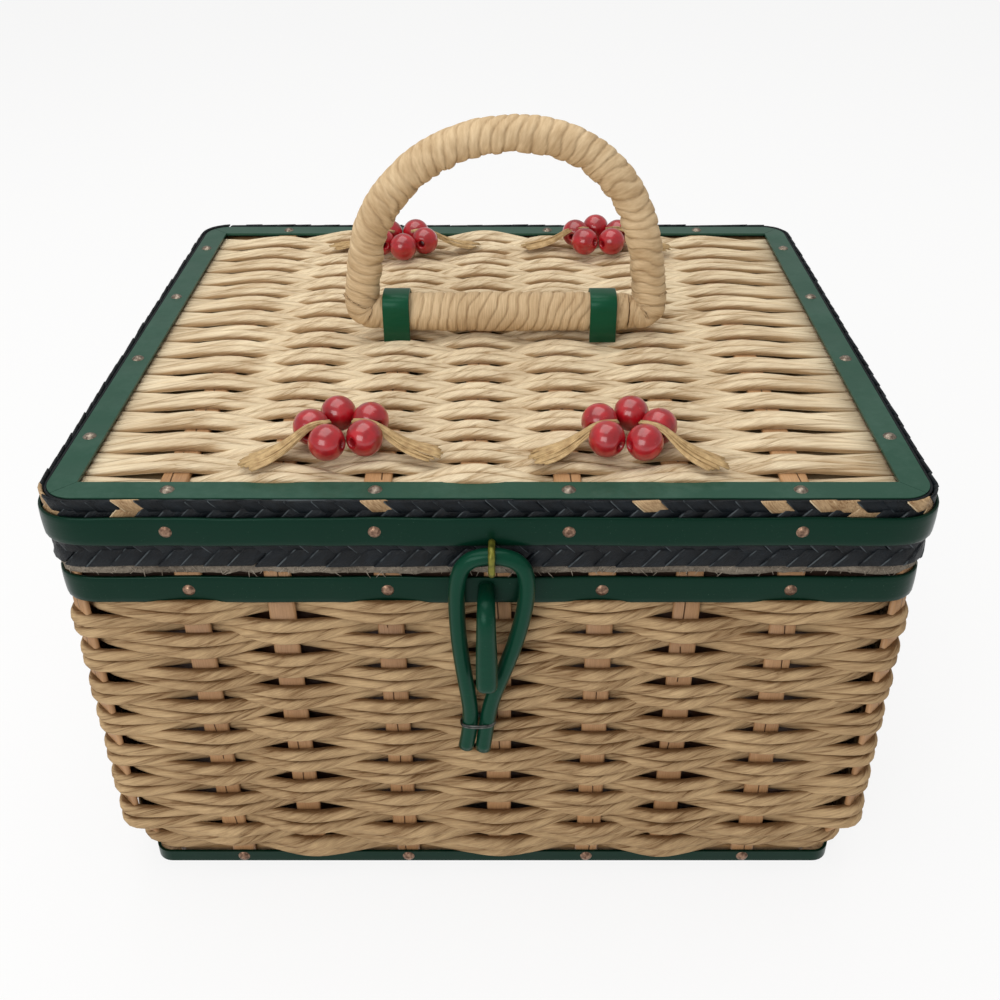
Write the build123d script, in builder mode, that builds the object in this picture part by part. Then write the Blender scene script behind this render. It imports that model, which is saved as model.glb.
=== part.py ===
"""Wicker sewing basket with one hinged lid, a folding wrapped handle and a loop-and-peg latch.

Millimetres. X is the width, Y runs from front to back and Z is up. The origin is the middle of the
underside of the base board. The stakes' middle plane is the reference for everything on the walls.
"""

from build123d import *
import math
import os

os.makedirs("parts", exist_ok=True)

# ---- driving dimensions: the basket ----
wall_half_x = 125.0  # middle of the side stakes, from the centre
wall_half_y = 109.0  # middle of the front and back stakes
wall_corner_r = 10.0
stake_width = 8.0
stake_thick = 2.0
stake_top_z = 130.5
stake_bend_z = 22.8  # below this the stakes lean in to the base board
stake_bend_r = 8.0
stake_foot_r = 3.0
stake_foot_z = 6.0  # below this they stand upright again, nailed to the board's edge
side_foot_inset = 8.0
front_foot_inset = 5.5
corner_foot_inset = 11.0
front_stake_x = (-87.5, -61.5, -29.5, 2.5, 33.0, 58.5, 88.0)
side_stake_pitch = 29.4
side_stake_count = 6

cord_thick = 3.2  # a row of body cord, squeezed between its stakes
row_z = (  # where each row starts, the lowest first; the last height is the top of the weave
    (5.0, 14.3, 22.9, 30.9, 38.3, 45.4, 52.3, 59.1)
    + (65.9, 72.6, 79.3, 86.0, 92.6, 99.2, 105.8, 112.3)
    + (118.8,)
)
row_clear = 0.1  # cord to stake
row_gap = 0.2  # row to row
bend_room = 0.6  # extra room where the stakes lean
bow_length = 8.4  # straight stretch of a row where it passes a stake

band_thick = 0.9  # green plastic strip
band_clear = 0.05
base_thick = 4.6
base_corner_cut = 7.3
base_band_height = 4.6
base_band_r = 5.0
rim_bottom_z = 119.2
rim_top_z = 128.5
rim_band_r = 8.0
hoop_thick = 2.0

panel_outer = 4.8  # lining panel's outer face, inside the stakes' middle plane
panel_inner = 13.6
panel_bottom_z = 14.4
panel_top_z = 128.0
panel_slope_z = 22.9  # the panel follows the leaning rows from here
panel_wall_z = 31.6  # up to here
panel_foot_outer = 10.2
panel_clear = 0.1
floor_inset = 13.3
floor_corner_r = 10.0
floor_clear = 0.1
floor_thick = 8.0

# ---- driving dimensions: the lid ----
lid_clear = 0.3  # felt sheet over the stake tops
felt_thick = 2.4
lid_overhang_x = 0.0  # the lid's edge, under its braids, past the stakes' middle plane
lid_overhang_y = 1.6
edge_corner_r = 9.0
frame_wall_x = 6.7
frame_wall_y = 5.2
frame_bottom_gap = 0.3
frame_chamfer = 1.8  # under the stakes' bends
lid_top_z = 154.5  # upper face of the lid stakes
lid_stake_x = (-90.0, -60.7, -31.7, -4.4, 22.6, 54.5, 87.7)
edge_stake_inset = 4.0  # middle of the outermost lid stakes, inside the lid's edge
edge_stake_width = 7.0
lid_stake_end_z = 137.0
lid_stake_bend_r = 3.0
lid_cord_thick = 2.6
lid_row_count = 31
lid_row_inset = 9.1  # first and last lid rows, inside the lid's edge
lid_row_end_gap = 0.2  # a row's end to the outermost stake
lid_board_thick = 3.3
board_clear = 0.1
cushion_thick = 4.5
cushion_inset_x = 21.0  # inside the lid's edge
cushion_inset_y = 21.6
cushion_corner_r = 14.0

top_band_width = 8.4
mitre_gap = 0.1
braid_thick = 2.4
lower_braid_z = (133.4, 145.7)
upper_braid_z = (147.2, 155.7)
side_band_z = (141.6, 151.0)
side_tack_z = 146.45

# ---- driving dimensions: tacks ----
tack_shank_r = 0.6
tack_hole_r = 0.65
tack_dome_r = 2.6
tack_dome_height = 1.0
tack_bite = 1.0  # how far a shank goes into the wood
rim_tack_z = 123.8
base_tack_z = 2.3
top_tack_y = (-76.0, -22.0, 32.0, 84.0)
side_tack_y = (-80.0, -27.0, 27.0, 80.0)
tacked_stake_step = 2  # every second lid stake has a tack at its ends

# ---- driving dimensions: handle ----
handle_y = -3.0
handle_core_r = 3.5
handle_wrap_r = 5.9
bar_wrap_r = 7.1
bar_clear = 0.3  # bar to the lid's weave, and to its straps
bar_x = (-37.9, 47.4)
handle_path = (  # X and height over the bar's axis
    (-45.4, 0.0),
    (-41.4, 33.5),
    (-25.0, 52.5),
    (-4.0, 61.8),
    (19.0, 62.3),
    (37.5, 53.0),
    (50.8, 34.5),
    (55.0, 0.0),
)
handle_corner_r = 6.3
handle_arch_r = 60.0  # largest bend between the points of its arch
strap_x = (-33.2, 38.5)
strap_width = 9.2
strap_thick = 1.1
strap_end_z = 157.6
tang_width = 1.9
tang_foot = 5.0
slot_clear = 0.1

# ---- driving dimensions: beads and leaves ----
bead_r = 5.4
bead_hole_r = 1.2
bead_count = 5
bead_gap = 0.1
bore_turn = 90.0  # lays a bead's bore along the ring
cluster_sites = {  # centre x, y, turn of the ring of beads, and the two leaf directions, in degrees
    "front_left": (-43.0, -84.0, 104.0, (206.0, 344.0)),
    "front_right": (40.8, -84.2, 80.0, (199.0, 332.0)),
    "back_left": (-37.5, 75.0, -85.0, (171.0, 11.0)),
    "back_right": (42.2, 79.5, -54.0, (180.0, -4.0)),
}
rest_clear = 0.2  # beads and leaves over the weave
leaf_start = 13.4
leaf_end = 31.0
leaf_width = (2.6, 9.0)
leaf_thick = 1.8

# ---- driving dimensions: latch ----
latch_x = 1.0
loop_wire_r = 2.45
loop_half_width = 9.7
loop_top_z = 139.6
loop_wide_z = 124.0
loop_foot_z = 66.0
loop_crotch_z = 84.0
loop_lean = 5.7  # sideways drift of the loop's foot
loop_bend_r = 12.0
loop_gap = 1.1  # to the weave behind it, with room for the wire tie
tie_z = 77.6
tie_wire_r = 0.45
tie_turns = 2
staple_wire_r = 1.0
staple_leg_z = (135.4, 143.4)
staple_bend_r = 2.2
staple_bite = 4.0
peg_x = -0.7
peg_width = 6.4
peg_thick = 5.0
peg_root_z = 124.6
peg_tip_z = 88.6
peg_bend_r = 7.0
peg_gap = 0.4  # peg's tip to the loop

# ---- driving dimensions: hinges ----
hinge_x = 74.0
hinge_axis_z = 129.5
hinge_pin_r = 1.0
hinge_fit = 0.05  # running clearance of the eye on its pin
eye_wire_r = 0.9
hinge_half_span = 5.0
bracket_leg_z = 124.0
bracket_bend_r = 2.0
eye_leg_z = 138.0
eye_bend_r = 2.5
hinge_setback = 3.6  # axis behind the rim band
hinge_hole_clear = 0.1

# ---- worked out ----
row_count = len(row_z) - 1
pass_level = stake_thick / 2 + row_clear + cord_thick / 2
lid_mid_z = lid_top_z - stake_thick / 2
lid_level = stake_thick / 2 + row_clear + lid_cord_thick / 2
lid_weave_top_z = lid_top_z + row_clear + lid_cord_thick
edge_half_x = wall_half_x + lid_overhang_x
edge_half_y = wall_half_y + lid_overhang_y
edge_stake_x = edge_half_x - edge_stake_inset
lid_row_half_x = edge_stake_x - edge_stake_width / 2 - lid_row_end_gap
lid_row_span = 2 * (edge_half_y - lid_row_inset)
cushion_half_x = edge_half_x - cushion_inset_x
cushion_half_y = edge_half_y - cushion_inset_y
tacked_stakes = range(0, len(lid_stake_x), tacked_stake_step)
frame_top_z = lid_top_z - stake_thick
felt_bottom_z = stake_top_z + lid_clear
felt_top_z = felt_bottom_z + felt_thick
frame_bottom_z = felt_top_z + frame_bottom_gap
frame_half_x = edge_half_x
frame_half_y = edge_half_y - stake_thick - 2 * band_clear
frame_inner_x = frame_half_x - frame_wall_x
frame_inner_y = frame_half_y - frame_wall_y
band_face_x = edge_half_x + braid_thick + 3 * band_clear + band_thick
band_face_y = edge_half_y + braid_thick + 3 * band_clear + band_thick
rim_inner = stake_thick / 2 + band_clear
rim_face = rim_inner + band_thick
weave_face = pass_level + cord_thick / 2
foot_insets = {
    "front": front_foot_inset,
    "back": front_foot_inset,
    "left": side_foot_inset,
    "right": side_foot_inset,
    "corner": corner_foot_inset,
}
board_half_x = wall_half_x - side_foot_inset - rim_inner
board_half_y = wall_half_y - front_foot_inset - rim_inner
bar_z = lid_weave_top_z + bar_clear + bar_wrap_r
hinge_axis_y = wall_half_y + rim_face + hinge_setback
loop_y = -(wall_half_y + weave_face + loop_gap + loop_wire_r)
staple_y = loop_y - loop_wire_r - bar_clear - staple_wire_r
peg_y = loop_y - loop_wire_r - peg_gap - peg_thick / 2

up = Vector(0, 0, 1)
faces = {
    "front": (Vector(0, -1, 0), front_stake_x),
    "right": (Vector(1, 0, 0), None),
    "back": (Vector(0, 1, 0), tuple(reversed(front_stake_x))),
    "left": (Vector(-1, 0, 0), None),
}


def bend_radii(points, cap, closed):
    """The largest smooth radius at each corner of a run of points, at most the cap."""
    count = len(points)
    corners = range(count) if closed else range(1, count - 1)
    radii = []
    for i in corners:
        here = Vector(*points[i])
        before = here - Vector(*points[i - 1])
        after = Vector(*points[(i + 1) % count]) - here
        turn = math.radians(before.get_angle(after))
        reach = 0.45 * min(before.length, after.length)
        radii.append(min(cap, reach / max(math.tan(turn / 2), 1e-3)))
    return radii


def stake_sites():
    """Every body stake in order round the basket: side, spot, outward direction."""
    side_y = [(i - (side_stake_count - 1) / 2) * side_stake_pitch for i in range(side_stake_count)]
    corner_x = wall_half_x - wall_corner_r
    corner_y = wall_half_y - wall_corner_r
    sites = []

    def corner(sign_x, sign_y):
        out = Vector(sign_x, sign_y, 0).normalized()
        sites.append(("corner", Vector(sign_x * corner_x, sign_y * corner_y, 0) + out * wall_corner_r, out))

    corner(-1, -1)
    sites.extend(("front", Vector(x, -wall_half_y, 0), Vector(0, -1, 0)) for x in front_stake_x)
    corner(1, -1)
    sites.extend(("right", Vector(wall_half_x, y, 0), Vector(1, 0, 0)) for y in side_y)
    corner(1, 1)
    sites.extend(("back", Vector(x, wall_half_y, 0), Vector(0, 1, 0)) for x in reversed(front_stake_x))
    corner(-1, 1)
    sites.extend(("left", Vector(-wall_half_x, y, 0), Vector(-1, 0, 0)) for y in reversed(side_y))
    return sites


def inset_at(z, foot):
    """How far a stake with this foot inset has leaned in at a height."""
    share = (stake_bend_z - z) / (stake_bend_z - stake_foot_z)
    return foot * min(max(share, 0.0), 1.0)


def upright(spot, out):
    """A plane on a wall: its x points out of the wall and its y points up."""
    return Plane(origin=spot, x_dir=out, z_dir=out.cross(up))


def facing(spot, out):
    """A plane whose normal points out of the wall."""
    return Plane(origin=spot, z_dir=out)


sites = stake_sites()


def row_loop(row, shift):
    """The wavy closed line of one row, moved out of its middle by the shift."""
    low = row_z[row]
    high = row_z[row + 1] - row_gap
    room = bend_room if low < stake_bend_z + bend_room else 0.0
    points = []
    for i, (side, spot, out) in enumerate(sites):
        foot = foot_insets[side]
        if (i + row) % 2 == 0:
            level = pass_level + room - inset_at(high, foot)
        else:
            level = -pass_level - room - inset_at(low, foot)
        middle = spot + out * (level + shift)
        along = up.cross(out) * (bow_length / 2)
        points += [middle - along, middle + along]
    return [(p.X, p.Y) for p in points]


def wavy_face(points, plane):
    """A closed outline through the points."""
    with BuildSketch(plane) as outline:
        with BuildLine():
            Polyline(*points, close=True)
        make_face()
    return outline.sketch


def ring(half_x, half_y, radius, wall, bottom_z, top_z):
    """A flat strip bent round a rounded rectangle; half_x and half_y are its inner face."""
    with BuildSketch(Plane.XY.offset(bottom_z)) as strip:
        RectangleRounded(2 * (half_x + wall), 2 * (half_y + wall), radius + wall)
        RectangleRounded(2 * half_x, 2 * half_y, radius, mode=Mode.SUBTRACT)
    extrude(strip.sketch, amount=top_z - bottom_z)


def drill(planes, radius, depth):
    """Round holes that go in from the planes, against their normals."""
    with Locations(*planes):
        Cylinder(radius, 2 * depth, mode=Mode.SUBTRACT)


def tack_set(planes, shank):
    """Domed tacks with their heads on the planes."""
    rise = math.degrees(math.asin(1 - tack_dome_height / tack_dome_r))
    with Locations(*planes):
        Cylinder(tack_shank_r, shank, align=(Align.CENTER, Align.CENTER, Align.MAX))
        Sphere(tack_dome_r, arc_size1=rise, align=(Align.CENTER, Align.CENTER, Align.MIN))


def save(part, name):
    part.label = name
    export_step(part, f"parts/{name}.step")


# ---- where the tacks and wires go ----
tacked_sites = [site for i, site in enumerate(sites) if i % 2 and site[0] != "corner"]
rim_tack_planes = [
    facing(spot + out * rim_face + up * rim_tack_z, out) for side, spot, out in tacked_sites
]
base_tack_planes = [
    facing(spot + out * (rim_face - foot_insets[side]) + up * base_tack_z, out)
    for side, spot, out in tacked_sites
]
lid_end_planes = [
    facing(Vector(lid_stake_x[i], sign * band_face_y, side_tack_z), Vector(0, sign, 0))
    for i in tacked_stakes
    for sign in (-1, 1)
]
lid_flank_planes = [
    facing(Vector(sign * band_face_x, y, side_tack_z), Vector(sign, 0, 0))
    for y in side_tack_y
    for sign in (-1, 1)
]
top_face_z = lid_top_z + band_clear + band_thick
top_end_planes = [
    facing(Vector(lid_stake_x[i], sign * (edge_half_y - top_band_width / 2), top_face_z), up)
    for i in tacked_stakes
    for sign in (-1, 1)
]
top_flank_planes = [
    facing(Vector(sign * edge_stake_x, y, top_face_z), up) for y in top_tack_y for sign in (-1, 1)
]
back_out = Vector(0, 1, 0)
bracket_holes = [
    facing(
        Vector(side * hinge_x + half * hinge_half_span, wall_half_y + rim_face, bracket_leg_z), back_out
    )
    for side in (-1, 1)
    for half in (-1, 1)
]
eye_holes = [facing(Vector(side * hinge_x, band_face_y, eye_leg_z), back_out) for side in (-1, 1)]
staple_holes = [
    facing(Vector(latch_x, -band_face_y, z), Vector(0, -1, 0)) for z in staple_leg_z
]
wire_depth = 12.0  # deep enough to cross a wall

# ---- base ----
with BuildPart() as base_board:
    with BuildSketch():
        Rectangle(2 * board_half_x, 2 * board_half_y)
    extrude(amount=base_thick)
    chamfer(base_board.edges().filter_by(Axis.Z), length=base_corner_cut)
save(base_board.part, "base_board")

with BuildPart() as base_band:
    ring(
        wall_half_x + rim_inner - side_foot_inset,
        wall_half_y + rim_inner - front_foot_inset,
        base_band_r,
        band_thick,
        0,
        base_band_height,
    )
    drill(base_tack_planes, tack_hole_r, 2 * band_thick)
save(base_band.part, "base_band")

with BuildPart() as base_tacks:
    tack_set(base_tack_planes, band_thick + band_clear + tack_bite)
save(base_tacks.part, "base_tacks")

# ---- stakes ----
stake_groups = {
    "stakes_front": "front",
    "stakes_back": "back",
    "stakes_left": "left",
    "stakes_right": "right",
    "corner_stakes": "corner",
}
for node, side in stake_groups.items():
    foot = foot_insets[side]
    with BuildPart() as stakes:
        for name, spot, out in sites:
            if name != side:
                continue
            with BuildSketch(upright(spot, out)):
                with BuildLine():
                    FilletPolyline(
                        (-foot, band_clear),
                        (-foot, stake_foot_z),
                        (0, stake_bend_z),
                        (0, stake_top_z),
                        radius=[stake_foot_r, stake_bend_r],
                    )
                trace(line_width=stake_thick)
            extrude(amount=stake_width / 2, both=True)
        drill(
            [plane.offset(-band_thick - band_clear) for plane in rim_tack_planes + base_tack_planes],
            tack_hole_r,
            tack_bite,
        )
    save(stakes.part, node)

# ---- woven rows of the body ----
for node, first in (("weave_even_rows", 0), ("weave_odd_rows", 1)):
    with BuildPart() as rows:
        for row in range(first, row_count, 2):
            level = row_count - 1 - row
            height = row_z[level + 1] - row_gap - row_z[level]
            bottom = Plane.XY.offset(row_z[level])
            extrude(wavy_face(row_loop(level, cord_thick / 2), bottom), amount=height)
            inner = wavy_face(row_loop(level, -cord_thick / 2), bottom)
            extrude(inner, amount=height, mode=Mode.SUBTRACT)
    save(rows.part, node)

# ---- rim ----
with BuildPart() as rim_band:
    ring(
        wall_half_x + rim_inner, wall_half_y + rim_inner, rim_band_r, band_thick, rim_bottom_z, rim_top_z
    )
    drill(rim_tack_planes, tack_hole_r, 2 * band_thick)
    drill(bracket_holes, hinge_pin_r + hinge_hole_clear, wire_depth)
    with Locations((peg_x, -(wall_half_y + rim_face), peg_root_z)):
        Box(
            peg_width + 2 * hinge_hole_clear,
            2 * wall_corner_r,
            peg_thick + 2 * peg_gap,
            mode=Mode.SUBTRACT,
        )
save(rim_band.part, "rim_band")

with BuildPart() as rim_hoop:
    ring(
        wall_half_x - rim_inner - hoop_thick,
        wall_half_y - rim_inner - hoop_thick,
        wall_corner_r - rim_inner - hoop_thick,
        hoop_thick,
        rim_bottom_z,
        rim_top_z,
    )
    drill(bracket_holes, hinge_pin_r + hinge_hole_clear, wire_depth)
save(rim_hoop.part, "rim_hoop")

with BuildPart() as rim_tacks:
    tack_set(rim_tack_planes, band_thick + band_clear + tack_bite)
save(rim_tacks.part, "rim_tacks")

# ---- padded lining ----
for side, (out, _) in faces.items():
    along_x = side in ("front", "back")
    reach = wall_half_y if along_x else wall_half_x
    half = (wall_half_x if along_x else wall_half_y) - panel_inner - panel_clear
    with BuildPart() as panel:
        with BuildSketch(upright(out * reach, out)):
            with BuildLine():
                Polyline(
                    (-panel_inner, panel_bottom_z),
                    (-panel_foot_outer, panel_bottom_z),
                    (-panel_foot_outer, panel_slope_z),
                    (-panel_outer, panel_wall_z),
                    (-panel_outer, panel_top_z),
                    (-panel_inner, panel_top_z),
                    close=True,
                )
            make_face()
        extrude(amount=half, both=True)
    save(panel.part, f"lining_{side}")

with BuildPart() as lining_floor:
    with BuildSketch(Plane.XY.offset(base_thick + floor_clear)):
        RectangleRounded(
            2 * (wall_half_x - floor_inset), 2 * (wall_half_y - floor_inset), floor_corner_r
        )
    extrude(amount=floor_thick)
save(lining_floor.part, "lining_floor")

# ---- lid: frame, stakes and weave ----
with BuildPart() as lid_frame:
    with BuildSketch(Plane.XY.offset(frame_bottom_z)):
        RectangleRounded(2 * frame_half_x, 2 * frame_half_y, edge_corner_r)
        Rectangle(2 * frame_inner_x, 2 * frame_inner_y, mode=Mode.SUBTRACT)
    extrude(amount=frame_top_z - frame_bottom_z)
    drill(eye_holes, eye_wire_r + hinge_hole_clear, wire_depth)
    drill(staple_holes, staple_wire_r + hinge_hole_clear, wire_depth)
    drill(lid_flank_planes, tack_hole_r, band_face_x - frame_half_x + tack_bite)
    long_edges = lid_frame.edges().filter_by(Axis.X).group_by(Axis.Z)[-1]
    chamfer([long_edges.sort_by(Axis.Y)[0], long_edges.sort_by(Axis.Y)[-1]], length=frame_chamfer)
save(lid_frame.part, "lid_frame")

with BuildPart() as lid_stakes:
    end_y = edge_half_y - stake_thick / 2 - band_clear
    for x in lid_stake_x:
        with BuildSketch(Plane.YZ.offset(x)):
            with BuildLine():
                FilletPolyline(
                    (-end_y, lid_stake_end_z),
                    (-end_y, lid_mid_z),
                    (end_y, lid_mid_z),
                    (end_y, lid_stake_end_z),
                    radius=lid_stake_bend_r,
                )
            trace(line_width=stake_thick)
        extrude(amount=stake_width / 2, both=True)
    with Locations((-edge_stake_x, 0, lid_mid_z), (edge_stake_x, 0, lid_mid_z)):
        Box(edge_stake_width, 2 * (edge_half_y - edge_corner_r), stake_thick)
    drill(lid_end_planes, tack_hole_r, band_face_y - edge_half_y + tack_bite)
    drill(top_end_planes + top_flank_planes, tack_hole_r, band_thick + band_clear + tack_bite)
save(lid_stakes.part, "lid_stakes")

tang_y = bar_wrap_r + bar_clear + strap_thick / 2
tang_sites = [
    (x - (strap_width - tang_width) / 2, handle_y + sign * tang_y) for x in strap_x for sign in (-1, 1)
]


def tang_slots():
    """Slots for the handle straps' tangs through the weave and the board."""
    slot = (tang_width + 2 * slot_clear, strap_thick + 2 * slot_clear, lid_top_z)
    with Locations(*[(x, y, lid_top_z) for x, y in tang_sites]):
        Box(*slot, mode=Mode.SUBTRACT)


def lid_row_outline(row):
    """The wavy side outline of one lid row, along X and Z."""
    levels = [(-lid_row_half_x, -lid_level)]
    for i, x in enumerate(lid_stake_x):
        level = lid_level if (i + row) % 2 else -lid_level
        levels += [(x - bow_length / 2, level), (x + bow_length / 2, level)]
    levels.append((lid_row_half_x, -lid_level))
    if levels[1][1] == levels[0][1]:
        del levels[1]
    if levels[-2][1] == levels[-1][1]:
        del levels[-2]
    over = [(x, lid_mid_z + level + lid_cord_thick / 2) for x, level in levels]
    under = [(x, lid_mid_z + level - lid_cord_thick / 2) for x, level in levels]
    return over, under


lid_row_pitch = lid_row_span / lid_row_count
for node, first in (("lid_even_rows", 0), ("lid_odd_rows", 1)):
    over, under = lid_row_outline(first)
    with BuildPart() as rows:
        for row in range(first, lid_row_count, 2):
            front = -lid_row_span / 2 + row * lid_row_pitch
            with BuildSketch(Plane.XZ.offset(row_gap / 2 - front - lid_row_pitch)):
                with BuildLine():
                    Polyline(*over, *reversed(under), close=True)
                make_face()
            extrude(amount=lid_row_pitch - row_gap)
        tang_slots()
    save(rows.part, node)

board_top_z = lid_mid_z - lid_level - lid_cord_thick / 2 - board_clear
with BuildPart() as lid_board:
    with BuildSketch(Plane.XY.offset(board_top_z - lid_board_thick)):
        Rectangle(2 * (frame_inner_x - board_clear), 2 * (frame_inner_y - board_clear))
    extrude(amount=lid_board_thick)
    tang_slots()
save(lid_board.part, "lid_board")

with BuildPart() as lid_felt:
    with BuildSketch(Plane.XY.offset(felt_bottom_z)):
        RectangleRounded(2 * edge_half_x, 2 * edge_half_y, edge_corner_r)
    extrude(amount=felt_thick)
save(lid_felt.part, "lid_felt")

with BuildPart() as lid_cushion:
    with BuildSketch(Plane.XY.offset(felt_bottom_z - cushion_thick)):
        RectangleRounded(2 * cushion_half_x, 2 * cushion_half_y, cushion_corner_r)
    extrude(amount=cushion_thick)
save(lid_cushion.part, "lid_cushion")

# ---- lid: bands and braids ----
top_half_x = edge_half_x - band_clear
top_half_y = edge_half_y
for side, (out, _) in faces.items():
    along_x = side in ("front", "back")
    reach, half = (top_half_y, top_half_x) if along_x else (top_half_x, top_half_y)
    with BuildPart() as band:
        with BuildSketch(Plane(origin=up * (lid_top_z + band_clear), x_dir=out, z_dir=up)):
            with BuildLine():
                Polyline(
                    (reach, half - mitre_gap),
                    (reach - top_band_width, half - mitre_gap - top_band_width),
                    (reach - top_band_width, mitre_gap + top_band_width - half),
                    (reach, mitre_gap - half),
                    close=True,
                )
            make_face()
            RectangleRounded(2 * reach, 2 * half, edge_corner_r, mode=Mode.INTERSECT)
        extrude(amount=band_thick)
        drill(top_end_planes + top_flank_planes, tack_hole_r, 2 * band_thick)
    save(band.part, f"top_band_{side}")

for node, (low, high) in (("lower_braid", lower_braid_z), ("upper_braid", upper_braid_z)):
    with BuildPart() as braid:
        ring(
            edge_half_x + band_clear, edge_half_y + band_clear, edge_corner_r, braid_thick, low, high
        )
        drill(eye_holes, eye_wire_r + hinge_hole_clear, wire_depth)
        drill(staple_holes, staple_wire_r + hinge_hole_clear, wire_depth)
    save(braid.part, node)

with BuildPart() as side_band:
    ring(
        band_face_x - band_thick,
        band_face_y - band_thick,
        edge_corner_r + braid_thick,
        band_thick,
        *side_band_z,
    )
    drill(lid_end_planes + lid_flank_planes, tack_hole_r, 2 * band_thick)
    drill(staple_holes, staple_wire_r + hinge_hole_clear, wire_depth)
save(side_band.part, "side_band")

with BuildPart() as side_tacks:
    tack_set(lid_end_planes, band_face_y - edge_half_y + tack_bite)
    tack_set(lid_flank_planes, band_face_x - frame_half_x + tack_bite)
save(side_tacks.part, "side_tacks")

with BuildPart() as top_tacks:
    tack_set(top_end_planes + top_flank_planes, band_thick + band_clear + tack_bite)
save(top_tacks.part, "top_tacks")

# ---- beads and leaves ----
ring_r = (2 * bead_r + bead_gap) / (2 * math.sin(math.pi / bead_count))
bead_z = lid_weave_top_z + rest_clear + bead_r
with BuildPart() as bead:
    with BuildSketch(Plane.XZ):
        Circle(bead_r)
        Rectangle(2 * bead_r, 2 * bead_r, align=(Align.MAX, Align.CENTER), mode=Mode.SUBTRACT)
        Rectangle(2 * bead_hole_r, 2 * bead_r, mode=Mode.SUBTRACT)
    revolve(axis=Axis.Z)
for place, (x, y, turn, leaf_turns) in cluster_sites.items():
    with BuildPart() as beads:
        with Locations((x, y, bead_z)):
            with PolarLocations(ring_r, bead_count, start_angle=turn):
                add(bead.part, rotation=(bore_turn, 0, 0))
    save(beads.part, f"beads_{place}")
    with BuildPart() as leaves:
        for leaf_turn in leaf_turns:
            flat = Plane(
                origin=(x, y, lid_weave_top_z + rest_clear),
                x_dir=Vector(1, 0, 0).rotate(Axis.Z, leaf_turn),
                z_dir=up,
            )
            with BuildSketch(flat):
                with BuildLine():
                    Polyline(
                        (leaf_start, -leaf_width[0] / 2),
                        (leaf_end, -leaf_width[1] / 2),
                        (leaf_end, leaf_width[1] / 2),
                        (leaf_start, leaf_width[0] / 2),
                        close=True,
                    )
                make_face()
            extrude(amount=leaf_thick)
    save(leaves.part, f"leaves_{place}")

# ---- handle and its straps ----
handle_plane = Plane(origin=(0, handle_y, bar_z), x_dir=(1, 0, 0), z_dir=(0, -1, 0))


def round_sweep(points, radii, plane, wire_r, bore_r=0.0, closed=False):
    """A round bar, or a tube with a bore, along a run of points on a plane."""
    with BuildLine(plane) as line:
        FilletPolyline(*points, radius=radii, close=closed)
    path = line.wires()[0]
    with BuildSketch(Plane(origin=path @ 0, z_dir=path % 0)) as section:
        Circle(wire_r)
        if bore_r:
            Circle(bore_r, mode=Mode.SUBTRACT)
    sweep(section.sketch, path=path)


arch_radii = bend_radii(handle_path, handle_arch_r, False)
handle_radii = [handle_corner_r] + arch_radii + [handle_corner_r]
with BuildPart() as handle_core:
    round_sweep(handle_path, handle_radii, handle_plane, handle_core_r, closed=True)
save(handle_core.part, "handle_core")

with BuildPart() as handle_wrap:
    round_sweep(
        [(bar_x[0], 0.0)] + list(handle_path) + [(bar_x[1], 0.0)],
        handle_radii,
        handle_plane,
        handle_wrap_r,
        handle_core_r,
    )
save(handle_wrap.part, "handle_wrap")

with BuildPart() as bar_wrap:
    with BuildSketch(Plane(origin=(bar_x[0], handle_y, bar_z), z_dir=(1, 0, 0))):
        Circle(bar_wrap_r)
        Circle(handle_core_r, mode=Mode.SUBTRACT)
    extrude(amount=bar_x[1] - bar_x[0])
save(bar_wrap.part, "bar_wrap")

strap_inner_r = bar_wrap_r + bar_clear
tang_end_z = board_top_z - lid_board_thick - board_clear - strap_thick
for side, x in zip(("left", "right"), strap_x):
    with BuildPart() as strap:
        with BuildSketch(Plane(origin=(x, handle_y, 0), x_dir=(0, 1, 0), z_dir=(1, 0, 0))) as outline:
            with Locations((0, bar_z)):
                Circle(strap_inner_r + strap_thick)
                Circle(strap_inner_r, mode=Mode.SUBTRACT)
            with Locations((0, bar_z)):
                Rectangle(
                    4 * bar_wrap_r,
                    2 * bar_wrap_r,
                    align=(Align.CENTER, Align.MAX),
                    mode=Mode.SUBTRACT,
                )
            with Locations((tang_y, bar_z), (-tang_y, bar_z)):
                Rectangle(strap_thick, bar_z - strap_end_z, align=(Align.CENTER, Align.MAX))
        extrude(amount=strap_width / 2, both=True)
        tang_plane = Plane(
            origin=(x - (strap_width - tang_width) / 2, handle_y, 0), x_dir=(0, 1, 0), z_dir=(1, 0, 0)
        )
        with BuildSketch(tang_plane):
            with Locations((tang_y, strap_end_z), (-tang_y, strap_end_z)):
                Rectangle(strap_thick, strap_end_z - tang_end_z, align=(Align.CENTER, Align.MAX))
            for sign in (-1, 1):
                with Locations((sign * (tang_y + strap_thick / 2 - tang_foot / 2), tang_end_z)):
                    Rectangle(tang_foot, strap_thick, align=(Align.CENTER, Align.MIN))
        extrude(amount=tang_width / 2, both=True)
    save(strap.part, f"handle_strap_{side}")

# ---- latch ----
loop_plane = Plane(origin=(latch_x, loop_y, 0), x_dir=(1, 0, 0), z_dir=(0, -1, 0))


def lean_at(z):
    """Sideways drift of the loop at a height."""
    return -loop_lean * (loop_top_z - z) / (loop_top_z - loop_foot_z)


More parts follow.
